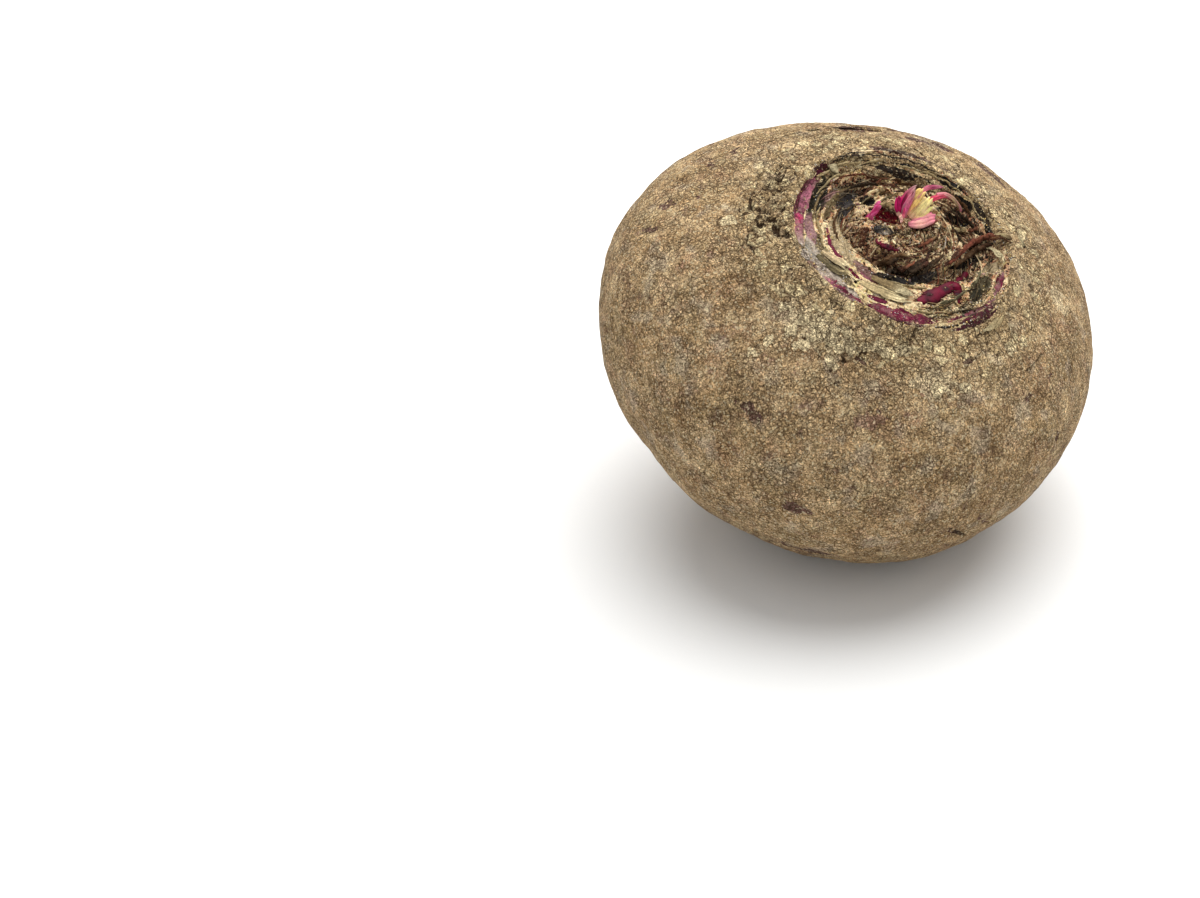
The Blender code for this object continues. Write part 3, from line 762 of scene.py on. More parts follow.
def turned(places, degrees):
    # across and up turned about the crown's middle
    t = math.radians(degrees)
    x, y = places[..., 0], places[..., 1]
    return np.stack([x * math.cos(t) - y * math.sin(t), x * math.sin(t) + y * math.cos(t)], -1)


def crownSpot(places):
    # (across, up, height) to a point of the root: across and up are read in the crown's plane, where a millimetre of
    # height shows as a step of planeStep
    places = np.asarray(places, float)
    flat = places[..., :2] - (places[..., 2:] - crownPlane) * np.array(planeStep)
    return np.concatenate([turned(flat, crownTurn), places[..., 2:]], -1)


def planeSpot(points):
    # the reverse: where a point of the root is read in the crown's plane
    return turned(points[..., :2], -crownTurn) + (points[..., 2:] - crownPlane) * np.array(planeStep)


def crownPaint(points):
    # the colour and cover of every crescent and blot, pointed at the ends of the crescents and ragged along all edges
    spot = planeSpot(points)
    azimuth = np.degrees(np.arctan2(spot[..., 1], spot[..., 0]))
    radius = np.hypot(spot[..., 0], spot[..., 1])
    paint = np.zeros((*radius.shape, 4))
    wobble = 0.45 * layeredNoise(points, 2.2, 3, seed=41)
    for first, last, middle, width, colour, cover in crescents:
        share = np.mod(azimuth - first, 360) / (last - first)
        swell = np.sqrt(np.sin(math.pi * np.clip(share, 0, 1)))
        reach = np.abs(radius + wobble - middle) / np.maximum(width * 0.5 * swell, 1e-3)
        layPaint(paint, cover * smooth(1.3, 0.8, reach) * (share < 1), colour)
    for across, up, length, width, turn, colour, cover in blots:
        away = turned(spot - np.array([across, up]), -turn)
        reach = np.hypot(away[..., 0] / length, away[..., 1] / width)
        layPaint(paint, cover * smooth(1.25, 0.75, reach + 0.8 * wobble), colour)
    return paint


def layPaint(paint, mask, colour):
    paint[..., :3] = mix(paint[..., :3], np.array(crownColours[colour][:3]), mask[..., None])
    paint[..., 3] = np.maximum(paint[..., 3], mask)


# Mat: what the leaf bases left in the hollow, dry and dark, with a moat round its middle

mat = {
    "columns": 420,
    "rows": 150,
    "reach": 21.6,
    "mound": 24.3,
    "underside": 20.95,
    "foot": 16.6,
    "ridges": (2.3, 0.40),
    "strands": (1.1, 0.50),
    "lumps": ((1.6, 0.46, 0.26), (0.66, 0.17, 0.18)),  # size, how uneven they lie, and how unlike in lightness
    # holes: across and up in the crown's plane, half width and depth
    "pits": ((-2.8, 5.4, 2.0, 1.3), (-6.4, 7.9, 1.5, 1.1), (10.9, 9.0, 2.0, 1.1), (12.9, -0.8, 1.6, 0.8)),
    # at each azimuth of the crown's plane: radius of the moat's middle, height of its floor, radius of the mat's edge,
    # how light the shelf outside the moat is, and how fibrous
    "moat": (
        (0, 15.0), (20, 15.6), (47, 15.8), (75, 16.4), (100, 16.2), (134, 13.6), (160, 11.0), (182, 8.8), (210, 7.4),
        (240, 6.4), (276, 6.0), (305, 7.4), (330, 9.5), (350, 12.5),
    ),
    "floor": (
        (0, 21.9), (40, 22.2), (70, 22.8), (110, 22.9), (150, 22.3), (180, 21.8), (230, 21.6), (276, 21.5),
        (320, 21.8),
    ),
    "edge": ((0, 18.7), (30, 19.4), (60, 20.5), (95, 20.9), (135, 20.3), (165, 18.9), (200, 18.4), (300, 18.4)),
    "shelf": (
        (0, 0.0), (40, -0.12), (80, -0.12), (130, -0.04), (165, 0.0), (200, 0.16), (250, 0.20), (290, 0.05),
        (330, 0.06),
    ),
    "fibrous": ((0, 0.9), (60, 1.3), (120, 1.3), (170, 1.0), (200, 0.4), (270, 0.4), (300, 0.55), (330, 0.5)),
}


def matTop(radius, azimuth):
    # height of the mat: the moat's floor, rising outside it to the ledge and inside it to the mound, with ridges that
    # follow the ring, strands along them and grain; and how light each place is, with painted shade and light from its
    # relief
    turn = azimuth - crownTurn
    moat = around(turn, mat["moat"])
    ledge = ledgeTop(azimuth)
    outer = smooth(0.4, 3.2, radius - moat)
    inner = smooth(-0.8, -4.2, radius - moat)
    flat = polar(azimuth, radius)
    skinHeight = crownPoint(np.maximum(radius, 18.4), azimuth)[..., 2]
    ledge = mix(ledge, skinHeight + 0.2, smooth(17.6, 18.8, radius))
    floor = around(turn, mat["floor"])
    fibrous = around(turn, mat["fibrous"])
    height = floor + (ledge - floor) * outer + (mat["mound"] - floor) * inner
    around3 = ray(azimuth) * 9.0
    around3[..., 2] = radius * 2.6
    size, deep = mat["strands"]
    strands = layeredNoise(around3, size * 2, 3, seed=11)
    size, tall = mat["ridges"]
    phase = radius + 1.1 * layeredNoise(flat, 5.0, 2, seed=12)
    ridges = (0.5 + 0.5 * np.sin(2 * math.pi * phase / size)) ** 1.6 - 0.4
    ringed = smooth(7, 11, radius)
    height = height + fibrous * (tall * 1.6 * ridges * ringed + deep * strands * mix(0.5, 1, ringed))
    height = height + 0.35 * layeredNoise(flat, 3.0, 2, seed=13) * (1 - 0.6 * ringed)
    for across, up, wide, deep in mat["pits"]:
        middle = crownSpot((across, up, 24.2))[:2]
        height = height - deep * smooth(1.3, 0.4, np.hypot(flat[..., 0] - middle[0], flat[..., 1] - middle[1]) / wide)
    # darker in the moat than on the shelf and the mound: its dark soil, and painted shade in the sunken ring
    light = 0.58 + 0.12 * outer + 0.18 * inner + around(turn, mat["shelf"]) * outer
    # painted light and shade: ridges and strands lighter where they stand up and darker in the grooves between them
    light = light + 0.34 * fibrous * ringed * (ridges + strands)
    light = light + 0.22 * layeredNoise(flat, 2.6, 3, seed=16)
    bent = flat + 0.5 * np.stack([latticeNoise(flat + 20.0 * k, 1.6, seed=20 + k) for k in range(3)], -1)
    for k, (size, tall, differ) in enumerate(mat["lumps"]):
        gap, owner = cellNoise(bent, size, seed=14 + k)
        rubble = (1 - 0.45 * ringed * np.minimum(fibrous, 1)) * (1 - 0.75 * outer * smooth(0.75, 0.45, fibrous))
        between = smooth(0.20 * size, 0.0, gap)
        height = height + rubble * tall * (owner - 0.5 - 0.9 * between)
        # painted shade: darker in the sunken gaps between the lumps
        light = light + rubble * (differ * (np.mod(owner * 7.3, 1) - 0.5) - 0.36 * between)
    return height, np.clip(light, 0, 1)


def topSpot(radius, azimuth):
    # the crown's surface as it shows: the mat, or the skin's ledge and rim outside it
    edge = around(azimuth - crownTurn, mat["edge"])
    height = np.where(radius < edge, matTop(radius, azimuth)[0], crownPoint(radius, azimuth)[..., 2])
    spot = ray(azimuth) * radius[..., None]
    spot[..., 2] = height
    return spot


def makeMat():
    azimuth = np.arange(mat["columns"]) * 360.0 / mat["columns"]
    radius = np.linspace(0.3, mat["reach"], mat["rows"])[:, None] + 0 * azimuth
    level = azimuth + 0 * radius
    height, light = matTop(radius, level)
    ragged = 0.7 * layeredNoise(polar(level, 18.5 + 0 * radius), 2.4, 3, seed=18)
    ragged = around(level - crownTurn, mat["edge"]) + ragged
    ledge = crownPoint(np.maximum(radius, 18.4), level)[..., 2]
    height = mix(height, ledge - 0.6, smooth(-0.25, 0.45, radius - ragged))
    under = np.array([mat["reach"] - 0.3, 19.0, mat["foot"], 8.0, 0.5])
    low = np.minimum(height[-1], ledge[-1] - 1.2)
    sunk = np.array([0.0, 0.5, 1, 1, 1])[:, None]
    below = polar(azimuth, under[:, None] + 0 * azimuth, mix(low, mat["underside"], sunk))
    rings = np.concatenate([polar(level, radius, height), below])
    light = np.concatenate([light, np.zeros((len(under), len(azimuth)))])
    poles = [(0, 0, height[0].mean()), (0, 0, mat["underside"])]
    flat = np.hypot(rings[..., 0], rings[..., 1])
    lanes = np.concatenate([rings[..., :2] * 9.0 / np.maximum(flat, 0.1)[..., None], flat[..., None] * 2.6], -1)
    lanes = np.concatenate([lanes, np.ones((*flat.shape, 1))], -1)
    attributes = {"light": light, "paint": crownPaint(rings), "lanes": lanes}
    piece = ringMesh("crown_mat", rings, poles, attributes, matMaterial())
    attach(piece, "root")
    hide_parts("stalk_bases")


def matMaterial():
    shop = Shop("dry_stalk", {"Specular IOR Level": 0.12})
    place = shop.place()
    middle = shop.noise(place, 1.5, 3.0, 0.65)
    fine = shop.noise(place, 0.42, 3.0, 0.7)
    grain = shop.noise(place, 0.16, 2.0, 0.7)
    bits = shop.random(place, 0.30)
    lanes = shop.attribute("lanes", out="Vector")  # long round the crown and short across it
    fibre = shop.noise(lanes, 0.55, 3.0, 0.65)
    # the light attribute holds the mat's own tones together with painted shade in its moat, grooves and gaps
    light = shop.attribute("light") + (middle - 0.5) * 0.5 + (fine - 0.5) * 0.8
    light = light + (bits - 0.5) * 0.52 + (fibre - 0.5) * 0.72
    colour = shop.colours(light, (
        (0.10, tone(28, 21, 17, 0.8)), (0.25, tone(98, 66, 50, 0.8)), (0.40, tone(158, 116, 90, 0.8)),
        (0.60, tone(198, 164, 124, 0.8)), (0.82, tone(228, 208, 164, 0.8)),
    ))
    # pieces of other kinds: reddish, olive, grey and pinkish
    kind = shop.random(place + 60.0, 0.9)
    red = shop.noise(place + 50.0, 2.6, 2.0).ramp(0.42, 0.58) * kind.ramp(0.62, 0.66)
    colour = shop.colourMix(red * 0.55, colour, colour * tone(232, 170, 146, 1.0))
    mossy = shop.noise(place + 120.0, 2.4, 2.0).ramp(0.46, 0.60) * (1.0 - kind.ramp(0.34, 0.38))
    colour = shop.colourMix(mossy * 0.6, colour, colour * tone(200, 200, 150, 0.8))
    grit = shop.random(place + 5.0, 0.30)
    colour = shop.colourMix(grit.ramp(0.86, 0.94) * 0.8, colour, tone(236, 216, 176))
    dark = shop.random(place + 31.0, 0.38)
    colour = shop.colourMix(dark.ramp(0.86, 0.92) * 0.75, colour, tone(36, 27, 21))
    paint = shop.attribute("paint", out="Color") * (fine * 2.4 + 0.15) * (bits * 0.7 + 0.68)
    cover = (shop.attribute("paint", out="Alpha") * 1.5 - fine * 0.7 - bits * 0.35).ramp(0.0, 0.35)
    colour = shop.colourMix(cover, colour, paint)
    height = fine * 0.8 + middle * 0.5 + grain * 0.5 + bits * 0.2 + fibre * 1.4
    return shop.finish(height, 0.40, BaseColour=colour, Roughness=0.92 - cover * 0.35)


# Strands: many tapered stalks, straws and fibres in one mesh


def route(corners, count):
    # a smooth way through a few corners, b to c with a before and d after:
    # 0.5 * (2b + (c - a) t + (2a - 5b + 4c - d) t^2 + (3b - a - 3c + d) t^3)
    corners = np.asarray(corners, float)
    padded = np.concatenate([[2 * corners[0] - corners[1]], corners, [2 * corners[-1] - corners[-2]]])
    spot = np.linspace(0, len(corners) - 1, count)
    k = np.minimum(spot.astype(int), len(corners) - 2)
    t = (spot - k)[:, None]
    a, b, c, d = padded[k], padded[k + 1], padded[k + 2], padded[k + 3]
    return 0.5 * (2 * b + (c - a) * t + (2 * a - 5 * b + 4 * c - d) * t**2 + (3 * b - a - 3 * c + d) * t**3)


def sideways(ways):
    # level and square to each way, and square to both
    along = np.gradient(ways, axis=-2)
    along /= np.linalg.norm(along, axis=-1, keepdims=True)
    across = np.cross(along, (0, 0, 1.0))
    across /= np.maximum(np.linalg.norm(across, axis=-1, keepdims=True), 1e-6)
    return across, np.cross(across, along)


def sweep(paths, wide, thick, sides, ribs=(0, 0.0)):
    # rings along many ways at once: across * wide * cos a + lift * thick * sin a, swollen by ribs, as their count and
    # depth: 1 + depth * cos(count * a)
    across, lift = sideways(paths)
    a = np.arange(sides) * 2 * math.pi / sides
    swell = 1 + ribs[1] * np.cos(ribs[0] * a)
    x = wide[..., None] * np.cos(a) * swell
    y = thick[..., None] * np.sin(a) * swell
    return paths[:, :, None] + across[:, :, None] * x[..., None] + lift[:, :, None] * y[..., None]


def evened(values, span):
    # the running mean of 2 span + 1 values
    return np.convolve(np.pad(values, span, "edge"), np.ones(2 * span + 1) / (2 * span + 1), "valid")


def tapered(t, edge, power):
    # 1 in the middle, easing to almost nothing at t = 0 and 1: sin(pi t) ** power
    return np.sin(math.pi * np.clip(t, edge, 1 - edge)) ** power


def brimShare(sides):
    # 1 at the two side edges of a ring, 0 on top and below
    return np.abs(np.cos(np.arange(sides) * 2 * math.pi / sides))[:, None]


def strandMesh(name, rings, tint, material):
    # closed tubes, each one's rings drawn together at both ends; tint is a colour for each point of the rings
    count, rows, sides = rings.shape[:3]
    tint = np.broadcast_to(tint, (count, rows, sides, 4))
    ends = np.stack([rings[:, 0].mean(1), rings[:, -1].mean(1)], 1)
    points = np.concatenate([rings.reshape(count, -1, 3), ends], 1)
    endTint = np.stack([tint[:, 0].mean(1), tint[:, -1].mean(1)], 1)
    colours = np.concatenate([tint.reshape(count, -1, 4), endTint], 1)
    quads, fans = gridFaces(rows, sides)
    start = np.arange(count)[:, None, None] * points.shape[1]
    faces = [(quads + start).reshape(-1, 4), (fans + start).reshape(-1, 3)]
    return meshFrom(name, setDown(points.reshape(-1, 3)), faces, {"tint": colours.reshape(-1, 4)}, material)


def stalkMaterial(name, roughness, shine, streak, depth, dust=0.0):
    # a stalk's own tint, streaked and flecked, with dust where it is dry
    shop = Shop(name, {"Specular IOR Level": shine})
    place = shop.place()
    middle = shop.noise(place, 0.9, 3.0, 0.6)
    fine = shop.noise(place, 0.25, 3.0, 0.7)
    colour = shop.attribute("tint", out="Color") * (middle * streak * 2 + 1 - streak)
    colour = colour * (fine * 0.9 + 0.55)
    if dust:
        colour = colour * (shop.random(place, 0.24) * 0.6 + 0.72)
        colour = colour * (shop.random(place + 9.0, 0.4) * 0.4 + 0.82)
        here = (middle * 0.5 + fine * 0.5).ramp(0.52, 0.66)
        colour = shop.colourMix(here * dust, colour, bright(164, 142, 112))
        dark = shop.noise(place + 70.0, 0.5, 2.0).ramp(0.56, 0.64)
        colour = shop.colourMix(dark * dust, colour, bright(58, 38, 30))
        grit = shop.noise(place + 20.0, 0.3, 1.0).ramp(0.66, 0.72)
        colour = shop.colourMix(grit * dust, colour, bright(226, 204, 166))
    rough = middle * 0.3 + (roughness - 0.15)
    return shop.finish(middle * 0.6 + fine, depth, BaseColour=colour, Roughness=rough)


def palette(names):
    return np.array([crownColours[name] for name in names])


def blended(t, places, names):
    # the colours of a palette, given at places from 0 to 1, at each t
    stops = palette(names)
    return np.stack([np.interp(t, places, stops[:, k]) for k in range(4)], -1)


def bundle(way, widths, ribs, bow, colours, number, flat=0.9, uneven=0.16, vary=0.14):
    # rings of the ribs of one stalk: they lie side by side across it on a curve, and end torn at uneven lengths
    rows, sides = len(way), 10
    draw = np.random.default_rng(100 + number)
    t = np.linspace(0, 1, rows)
    across, lift = sideways(way)
    wide = np.interp(t, [0, 0.5, 1], widths) / 2
    u = (np.arange(ribs) + 0.5) / ribs * 2 - 1
    u = u + draw.uniform(-0.12, 0.12, ribs)
    stretch = 1 - draw.uniform(0, uneven, ribs)
    lengthways = t[None, :] * stretch[:, None]
    at = lengthways * (rows - 1)
    low = np.minimum(at.astype(int), rows - 2)
    share = (at - low)[..., None]

    def between(values):
        return values[low] * (1 - share) + values[low + 1] * share

    reach = np.interp(lengthways, t, wide)
    paths = between(way) + between(across) * (u[:, None] * reach)[..., None]
    paths = paths - between(lift) * (bow * reach * u[:, None] ** 2)[..., None]
    paths = paths + 0.10 * np.stack([latticeNoise(paths + k * 7.0 + number, 1.3, seed=72) for k in range(3)], -1)
    half = reach / ribs * 1.6 * draw.uniform(1 - vary, 1 + 1.8 * vary, (ribs, 1))
    half = half * np.sqrt(np.clip((1.001 - t) / 0.10, 0, 1)) * (1 + 0.2 * latticeNoise(paths, 0.9, seed=71))
    rings = sweep(paths, half, half * flat, sides)
    base = blended(t, [0.05, 0.5, 0.95], colours)[None, :, None]
    lane = np.array([3.0, 0, 0]) * u[:, None, None, None] + ray(np.arange(sides) * 360 / sides) * 0.35
    lane = lane + np.array([0, 0, 1.8]) * t[:, None, None] + number * 5.0
    streak = layeredNoise(lane, 0.9, 3, seed=73)[..., None]
    tint = base * (1 + 0.55 * streak) * draw.uniform(1 - 1.3 * vary, 1 + vary, (ribs, 1, 1, 1))
    tint = mix(tint, palette(colours)[0], 0.6 * smooth(0.15, 0.6, -streak))
    tint[..., 3] = 1
    return rings, np.clip(tint, 0, 1)


# Fibres and crumbs that lie loose in the crown

litter = {
    "fibres": 620,
    "crumbs": 750,
    "sand": 2200,
    "chips": 420,
    "chipColours": ("tan", "straw", "brown", "umber", "grey", "dusty", "cream", "brown"),
    "fibreColours": ("tan", "brown", "brown", "rust", "dark", "dark", "sandy", "umber", "olive"),
    "crumbColours": (
        "brown", "rust", "dark", "tan", "black", "tan", "umber", "sandy", "olive", "brown", "sandy", "dusty",
    ),
}


def strewn(draw, count, reach, inner=0.0):
    # radius and azimuth of even places on a disc
    return reach * np.sqrt(draw.uniform(inner, 1.0, count)), draw.uniform(0, 360, count)


def offShelf(draw, radius, azimuth):
    # the scattered bits that stay: few on the smooth shelf at the front left
    turn = np.mod(azimuth - crownTurn, 360)
    shelf = smooth(9, 11, radius) * smooth(150, 175, turn) * smooth(300, 285, turn)
    stay = draw.uniform(0, 1, len(radius)) > 0.92 * shelf
    return radius[stay], azimuth[stay]


def litterTint(draw, names, middles, low, high):
    # a random colour of the list for each bit, or, where the crown is painted, mostly the paint's
    tint = palette(names)[draw.integers(0, len(names), len(middles))]
    paint = crownPaint(middles)
    share = paint[..., 3:] * (draw.uniform(0, 1, (len(middles), 1)) < 0.93)
    tint[:, :3] = mix(tint[:, :3], paint[:, :3], share) * draw.uniform(low, high, (len(middles), 1)) * 1.25
    return tint


def makeFibres(shade):
    # short curved fibres that follow the ring, turned in or out a little, their ends dipping into the mat
    draw = np.random.default_rng(7)
    radius, azimuth = offShelf(draw, *strewn(draw, litter["fibres"], 17.8, 0.02))
    count = len(radius)
    reach = draw.uniform(1.0, 3.6, count)
    turn = draw.normal(0, 24, count) + np.where(radius < 8, draw.uniform(0, 90, count), 0)
    t = np.linspace(-1, 1, 6)
    along = reach[:, None] * t
    bowed = 0.18 * draw.normal(0, 1, count)[:, None] * (1 - t**2) * reach[:, None]
    a = np.radians(turn)[:, None]
    out = radius[:, None] + along * np.sin(a) + bowed
    out = np.clip(out, 0.4, 18.9)
    level = azimuth[:, None] + np.degrees(along * np.cos(a) / np.maximum(radius, 3)[:, None])
    paths = topSpot(out, level)
    rise = draw.uniform(0.05, 0.55, count)[:, None] * (1 - t**2) + draw.uniform(-0.3, 0.5, count)[:, None] * t * 0.5
    paths[..., 2] = paths[..., 2].mean(1, keepdims=True) * 0.6 + paths[..., 2] * 0.4 + rise
    wide = draw.uniform(0.05, 0.15, count)[:, None] * (1 - 0.75 * t**4)
    rings = sweep(paths, wide, wide * 0.55, sides=5)
    tint = litterTint(draw, litter["fibreColours"], paths.mean(1), 0.6, 1.3)
    piece = strandMesh("crown_fibres", rings, tint[:, None, None], shade)
    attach(piece, "root")


def lumpMesh(name, middles, sizes, tint, shade, draw, shape, tilt=1.0):
    # one small uneven solid for each middle: the shape's corners pushed in and out, stretched and turned any way, with
    # less leaning over where tilt is under 1
    corners, faces = shape
    count = len(middles)
    jitter = draw.uniform(0.65, 1.25, (count, len(corners), 1))
    stretch = draw.uniform(0.55, 1.35, (count, 1, 3))
    spin = draw.normal(0, 1, (count, 4)) * np.array([1, tilt, tilt, 1])
    spin /= np.linalg.norm(spin, axis=1, keepdims=True)
    w, x, y, z = spin.T
    turn = np.stack([
        1 - 2 * (y * y + z * z), 2 * (x * y - z * w), 2 * (x * z + y * w),
        2 * (x * y + z * w), 1 - 2 * (x * x + z * z), 2 * (y * z - x * w),
        2 * (x * z - y * w), 2 * (y * z + x * w), 1 - 2 * (x * x + y * y),
    ], -1).reshape(count, 3, 3)
    local = np.einsum("nij,nkj->nki", turn, corners * jitter * stretch) * sizes[:, None, None]
    points = (local + middles[:, None]).reshape(-1, 3)
    allFaces = (faces + np.arange(count)[:, None, None] * len(corners)).reshape(-1, 3)
    colours = np.repeat(tint, len(corners), 0)
    piece = meshFrom(name, setDown(points), [allFaces], {"tint": colours}, shade)
    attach(piece, "root")


def twentySides():
    # the twelve corners (0, 1, g), (1, g, 0) and (g, 0, 1) with all signs, and the faces between nearest ones
    g = (1 + math.sqrt(5)) / 2
    corners = np.array([
        (-1, g, 0), (1, g, 0), (-1, -g, 0), (1, -g, 0), (0, -1, g), (0, 1, g), (0, -1, -g), (0, 1, -g), (g, 0, -1),
        (g, 0, 1), (-g, 0, -1), (-g, 0, 1),
    ])
    faces = np.array([
        (0, 11, 5), (0, 5, 1), (0, 1, 7), (0, 7, 10), (0, 10, 11), (1, 5, 9), (5, 11, 4), (11, 10, 2), (10, 7, 6),
        (7, 1, 8), (3, 9, 4), (3, 4, 2), (3, 2, 6), (3, 6, 8), (3, 8, 9), (4, 9, 5), (2, 4, 11), (6, 2, 10), (8, 6, 7),
        (9, 8, 1),
    ])
    return corners / math.hypot(1, g), faces


def eightSides():
    corners = np.array([(1, 0, 0), (-1, 0, 0), (0, 1, 0), (0, -1, 0), (0, 0, 1), (0, 0, -1)], float)
    faces = np.array([(0, 2, 4), (2, 1, 4), (1, 3, 4), (3, 0, 4), (2, 0, 5), (1, 2, 5), (3, 1, 5), (0, 3, 5)])
    return corners, faces


def makeCrumbs(shade):
    draw = np.random.default_rng(11)
    radius, azimuth = offShelf(draw, *strewn(draw, litter["crumbs"], 18.6))
    sizes = 0.10 + 0.26 * draw.uniform(0, 1, len(radius)) ** 3
    middles = topSpot(radius, azimuth)
    middles[:, 2] += sizes * 0.35
    tint = litterTint(draw, litter["crumbColours"], middles, 0.6, 1.4)
    lumpMesh("crown_crumbs", middles, sizes, tint, shade, draw, twentySides())
    # flat chips of old skin, tilted every way
    radius, azimuth = strewn(draw, litter["chips"], 19.4)
    sizes = draw.uniform(0.20, 0.48, len(radius))
    middles = topSpot(radius, azimuth)
    middles[:, 2] += 0.06
    tint = litterTint(draw, litter["chipColours"], middles, 0.7, 1.3)
    corners, faces = twentySides()
    lumpMesh("crown_chips", middles, sizes, tint, shade, draw, (corners * np.array([1, 0.7, 0.22]), faces), 0.25)
    # grains of sand
    radius, azimuth = strewn(draw, litter["sand"], 21.0)
    sizes = draw.uniform(0.06, 0.16, len(radius))
    middles = topSpot(radius, azimuth)
    middles[:, 2] += sizes * 0.5
    tint = palette(("cream", "white", "gold"))[draw.integers(0, 3, len(radius))] * 1.4
    lumpMesh("crown_sand", middles, sizes, tint, shade, draw, eightSides())


# Straws: the torn dry bases that stand out one by one

# corners as (across, up, height above the surface there), full width, thickness, colour at either end
straws = (
    (((-15.6, -8.8, 0.1), (-13.4, -10.5, 0.35), (-11.2, -11.3, 0.35), (-9.2, -10.7, 0.2)),
     1.8, 0.22, "olive", "straw"),
    (((-14.6, -7.4, 0.0), (-12.4, -8.6, 0.4), (-10.6, -9.4, 0.6), (-9.5, -10.8, 0.2)), 2.0, 0.22, "sandy", "cream"),
    (((-7.4, -12.4, 0.0), (-3.7, -13.4, 0.3), (-0.6, -13.9, 0.4), (3.0, -13.4, 0.1)), 2.1, 0.22, "straw", "cream"),
    (((-5.4, -10.6, 0.1), (-1.3, -11.5, 0.5), (2.4, -11.8, 0.3)), 1.9, 0.22, "tan", "cream"),
    (((-2.6, -12.2, 0.4), (0.2, -12.5, 0.6), (2.6, -12.3, 0.5)), 0.9, 0.2, "cream", "cream"),
    (((16.3, 4.3, 0.4), (17.8, 4.0, 0.9), (19.0, 2.6, 0.9), (19.6, 0.6, 0.4)), 1.1, 0.3, "cream", "cream"),
    (((9.4, -2.4, 0.2), (12.3, 2.4, 0.9), (15.7, 6.0, 1.5), (19.2, 7.4, 1.5), (22.0, 6.9, 0.6)),
     1.1, 0.5, "redbrown", "brown"),
    (((9.8, -1.0, 0.2), (12.4, 2.9, 0.8), (15.4, 5.6, 1.3), (17.4, 7.2, 1.2)), 0.9, 0.4, "rust", "brown"),
    (((10.6, -2.2, 0.1), (13.5, 1.6, 0.5), (16.4, 4.7, 0.9), (19.0, 5.7, 0.6)), 0.8, 0.4, "brown", "umber"),
    (((8.5, -3.2, 0.1), (10.9, 0.7, 0.6), (13.4, 3.9, 0.5)), 0.7, 0.35, "umber", "rust"),
    (((14.2, 3.9, 0.6), (16.4, 6.8, 1.4), (18.9, 7.8, 1.2)), 0.7, 0.35, "rust", "redbrown"),
    (((-6.9, -7.9, 0.1), (-4.8, -5.8, 0.5), (-2.6, -4.0, 0.1)), 0.9, 0.35, "umber", "brown"),
    (((-5.9, -8.8, 0.1), (-2.6, -6.0, 0.6), (0.7, -3.4, 0.1)), 0.8, 0.35, "brown", "dark"),
    (((-4.2, -10.4, 0.1), (-1.3, -7.9, 0.5), (1.2, -5.8, 0.6), (3.8, -3.1, 0.1)), 0.9, 0.35, "dark", "rust"),
    (((-0.3, -8.3, 0.1), (2.7, -5.5, 0.6), (4.7, -3.3, 0.7), (6.0, 0.7, 0.1)), 1.4, 0.4, "dark", "umber"),
    (((2.2, -7.6, 0.1), (4.6, -5.6, 0.5), (6.8, -2.4, 0.6), (8.8, 0.1, 0.1)), 0.9, 0.35, "dark", "brown"),
    (((-3.1, -5.4, 0.1), (0.2, -3.3, 0.5), (2.5, -3.4, 0.1)), 0.6, 0.3, "brown", "tan"),
    (((3.4, -0.4, 0.2), (5.5, 2.1, 0.6), (7.2, 4.0, 0.1)), 0.5, 0.25, "rust", "tan"),
    (((-4.9, 9.6, 0.2), (-3.6, 11.7, 0.8), (-1.3, 12.6, 0.3)), 0.45, 0.25, "tan", "umber"),
    (((-5.2, 6.1, 0.2), (-4.2, 7.4, 0.8), (-2.7, 7.9, 0.9), (-1.1, 7.3, 0.8), (-0.1, 5.5, 0.7), (-0.1, 3.4, 0.3)),
     0.6, 0.4, "tan", "blush"),
    (((17.8, 7.6, 1.0), (19.6, 7.9, 1.2), (21.4, 7.4, 0.8)), 0.9, 0.35, "straw", "brown"),
    (((9.8, 6.4, 0.2), (11.4, 7.1, 0.7), (13.2, 7.6, 0.3)), 0.7, 0.3, "straw", "tan"),
    (((13.2, 7.4, 0.2), (14.8, 8.4, 0.5), (16.2, 8.9, 0.2)), 0.5, 0.3, "rust", "brown"),
    (((8.6, 3.8, 0.7), (8.3, 1.6, 0.9), (7.0, -0.5, 0.2)), 0.28, 0.2, "grey", "straw"),
    (((7.6, 3.4, 0.2), (6.6, 1.0, 0.6), (5.2, -1.2, 0.1)), 0.3, 0.2, "tan", "brown"),
    (((22.6, 9.2, 0.1), (23.5, 7.4, 0.3), (24.4, 6.0, 0.1)), 0.5, 0.25, "cream", "dark"),
    (((18.4, -12.4, 0.0), (17.2, -14.8, 0.25), (15.5, -17.0, 0.0)), 0.7, 0.2, "straw", "cream"),
    (((19.4, -11.6, 0.0), (18.4, -14.0, 0.2), (17.4, -15.8, 0.0)), 0.5, 0.2, "straw", "straw"),
    (((-14.4, 14.2, 0.2), (-13.2, 14.0, 0.9), (-12.9, 12.6, 0.6), (-13.2, 11.0, 0.1)), 1.4, 0.4, "cream", "straw"),
    (((-9.8, 17.4, 0.0), (-9.2, 16.0, 0.3), (-8.6, 14.6, 0.0)), 0.4, 0.2, "straw", "straw"),
    (((11.6, 19.6, 0.1), (11.2, 18.2, 0.5), (10.4, 16.8, 0.1)), 0.9, 0.3, "cream", "straw"),
)

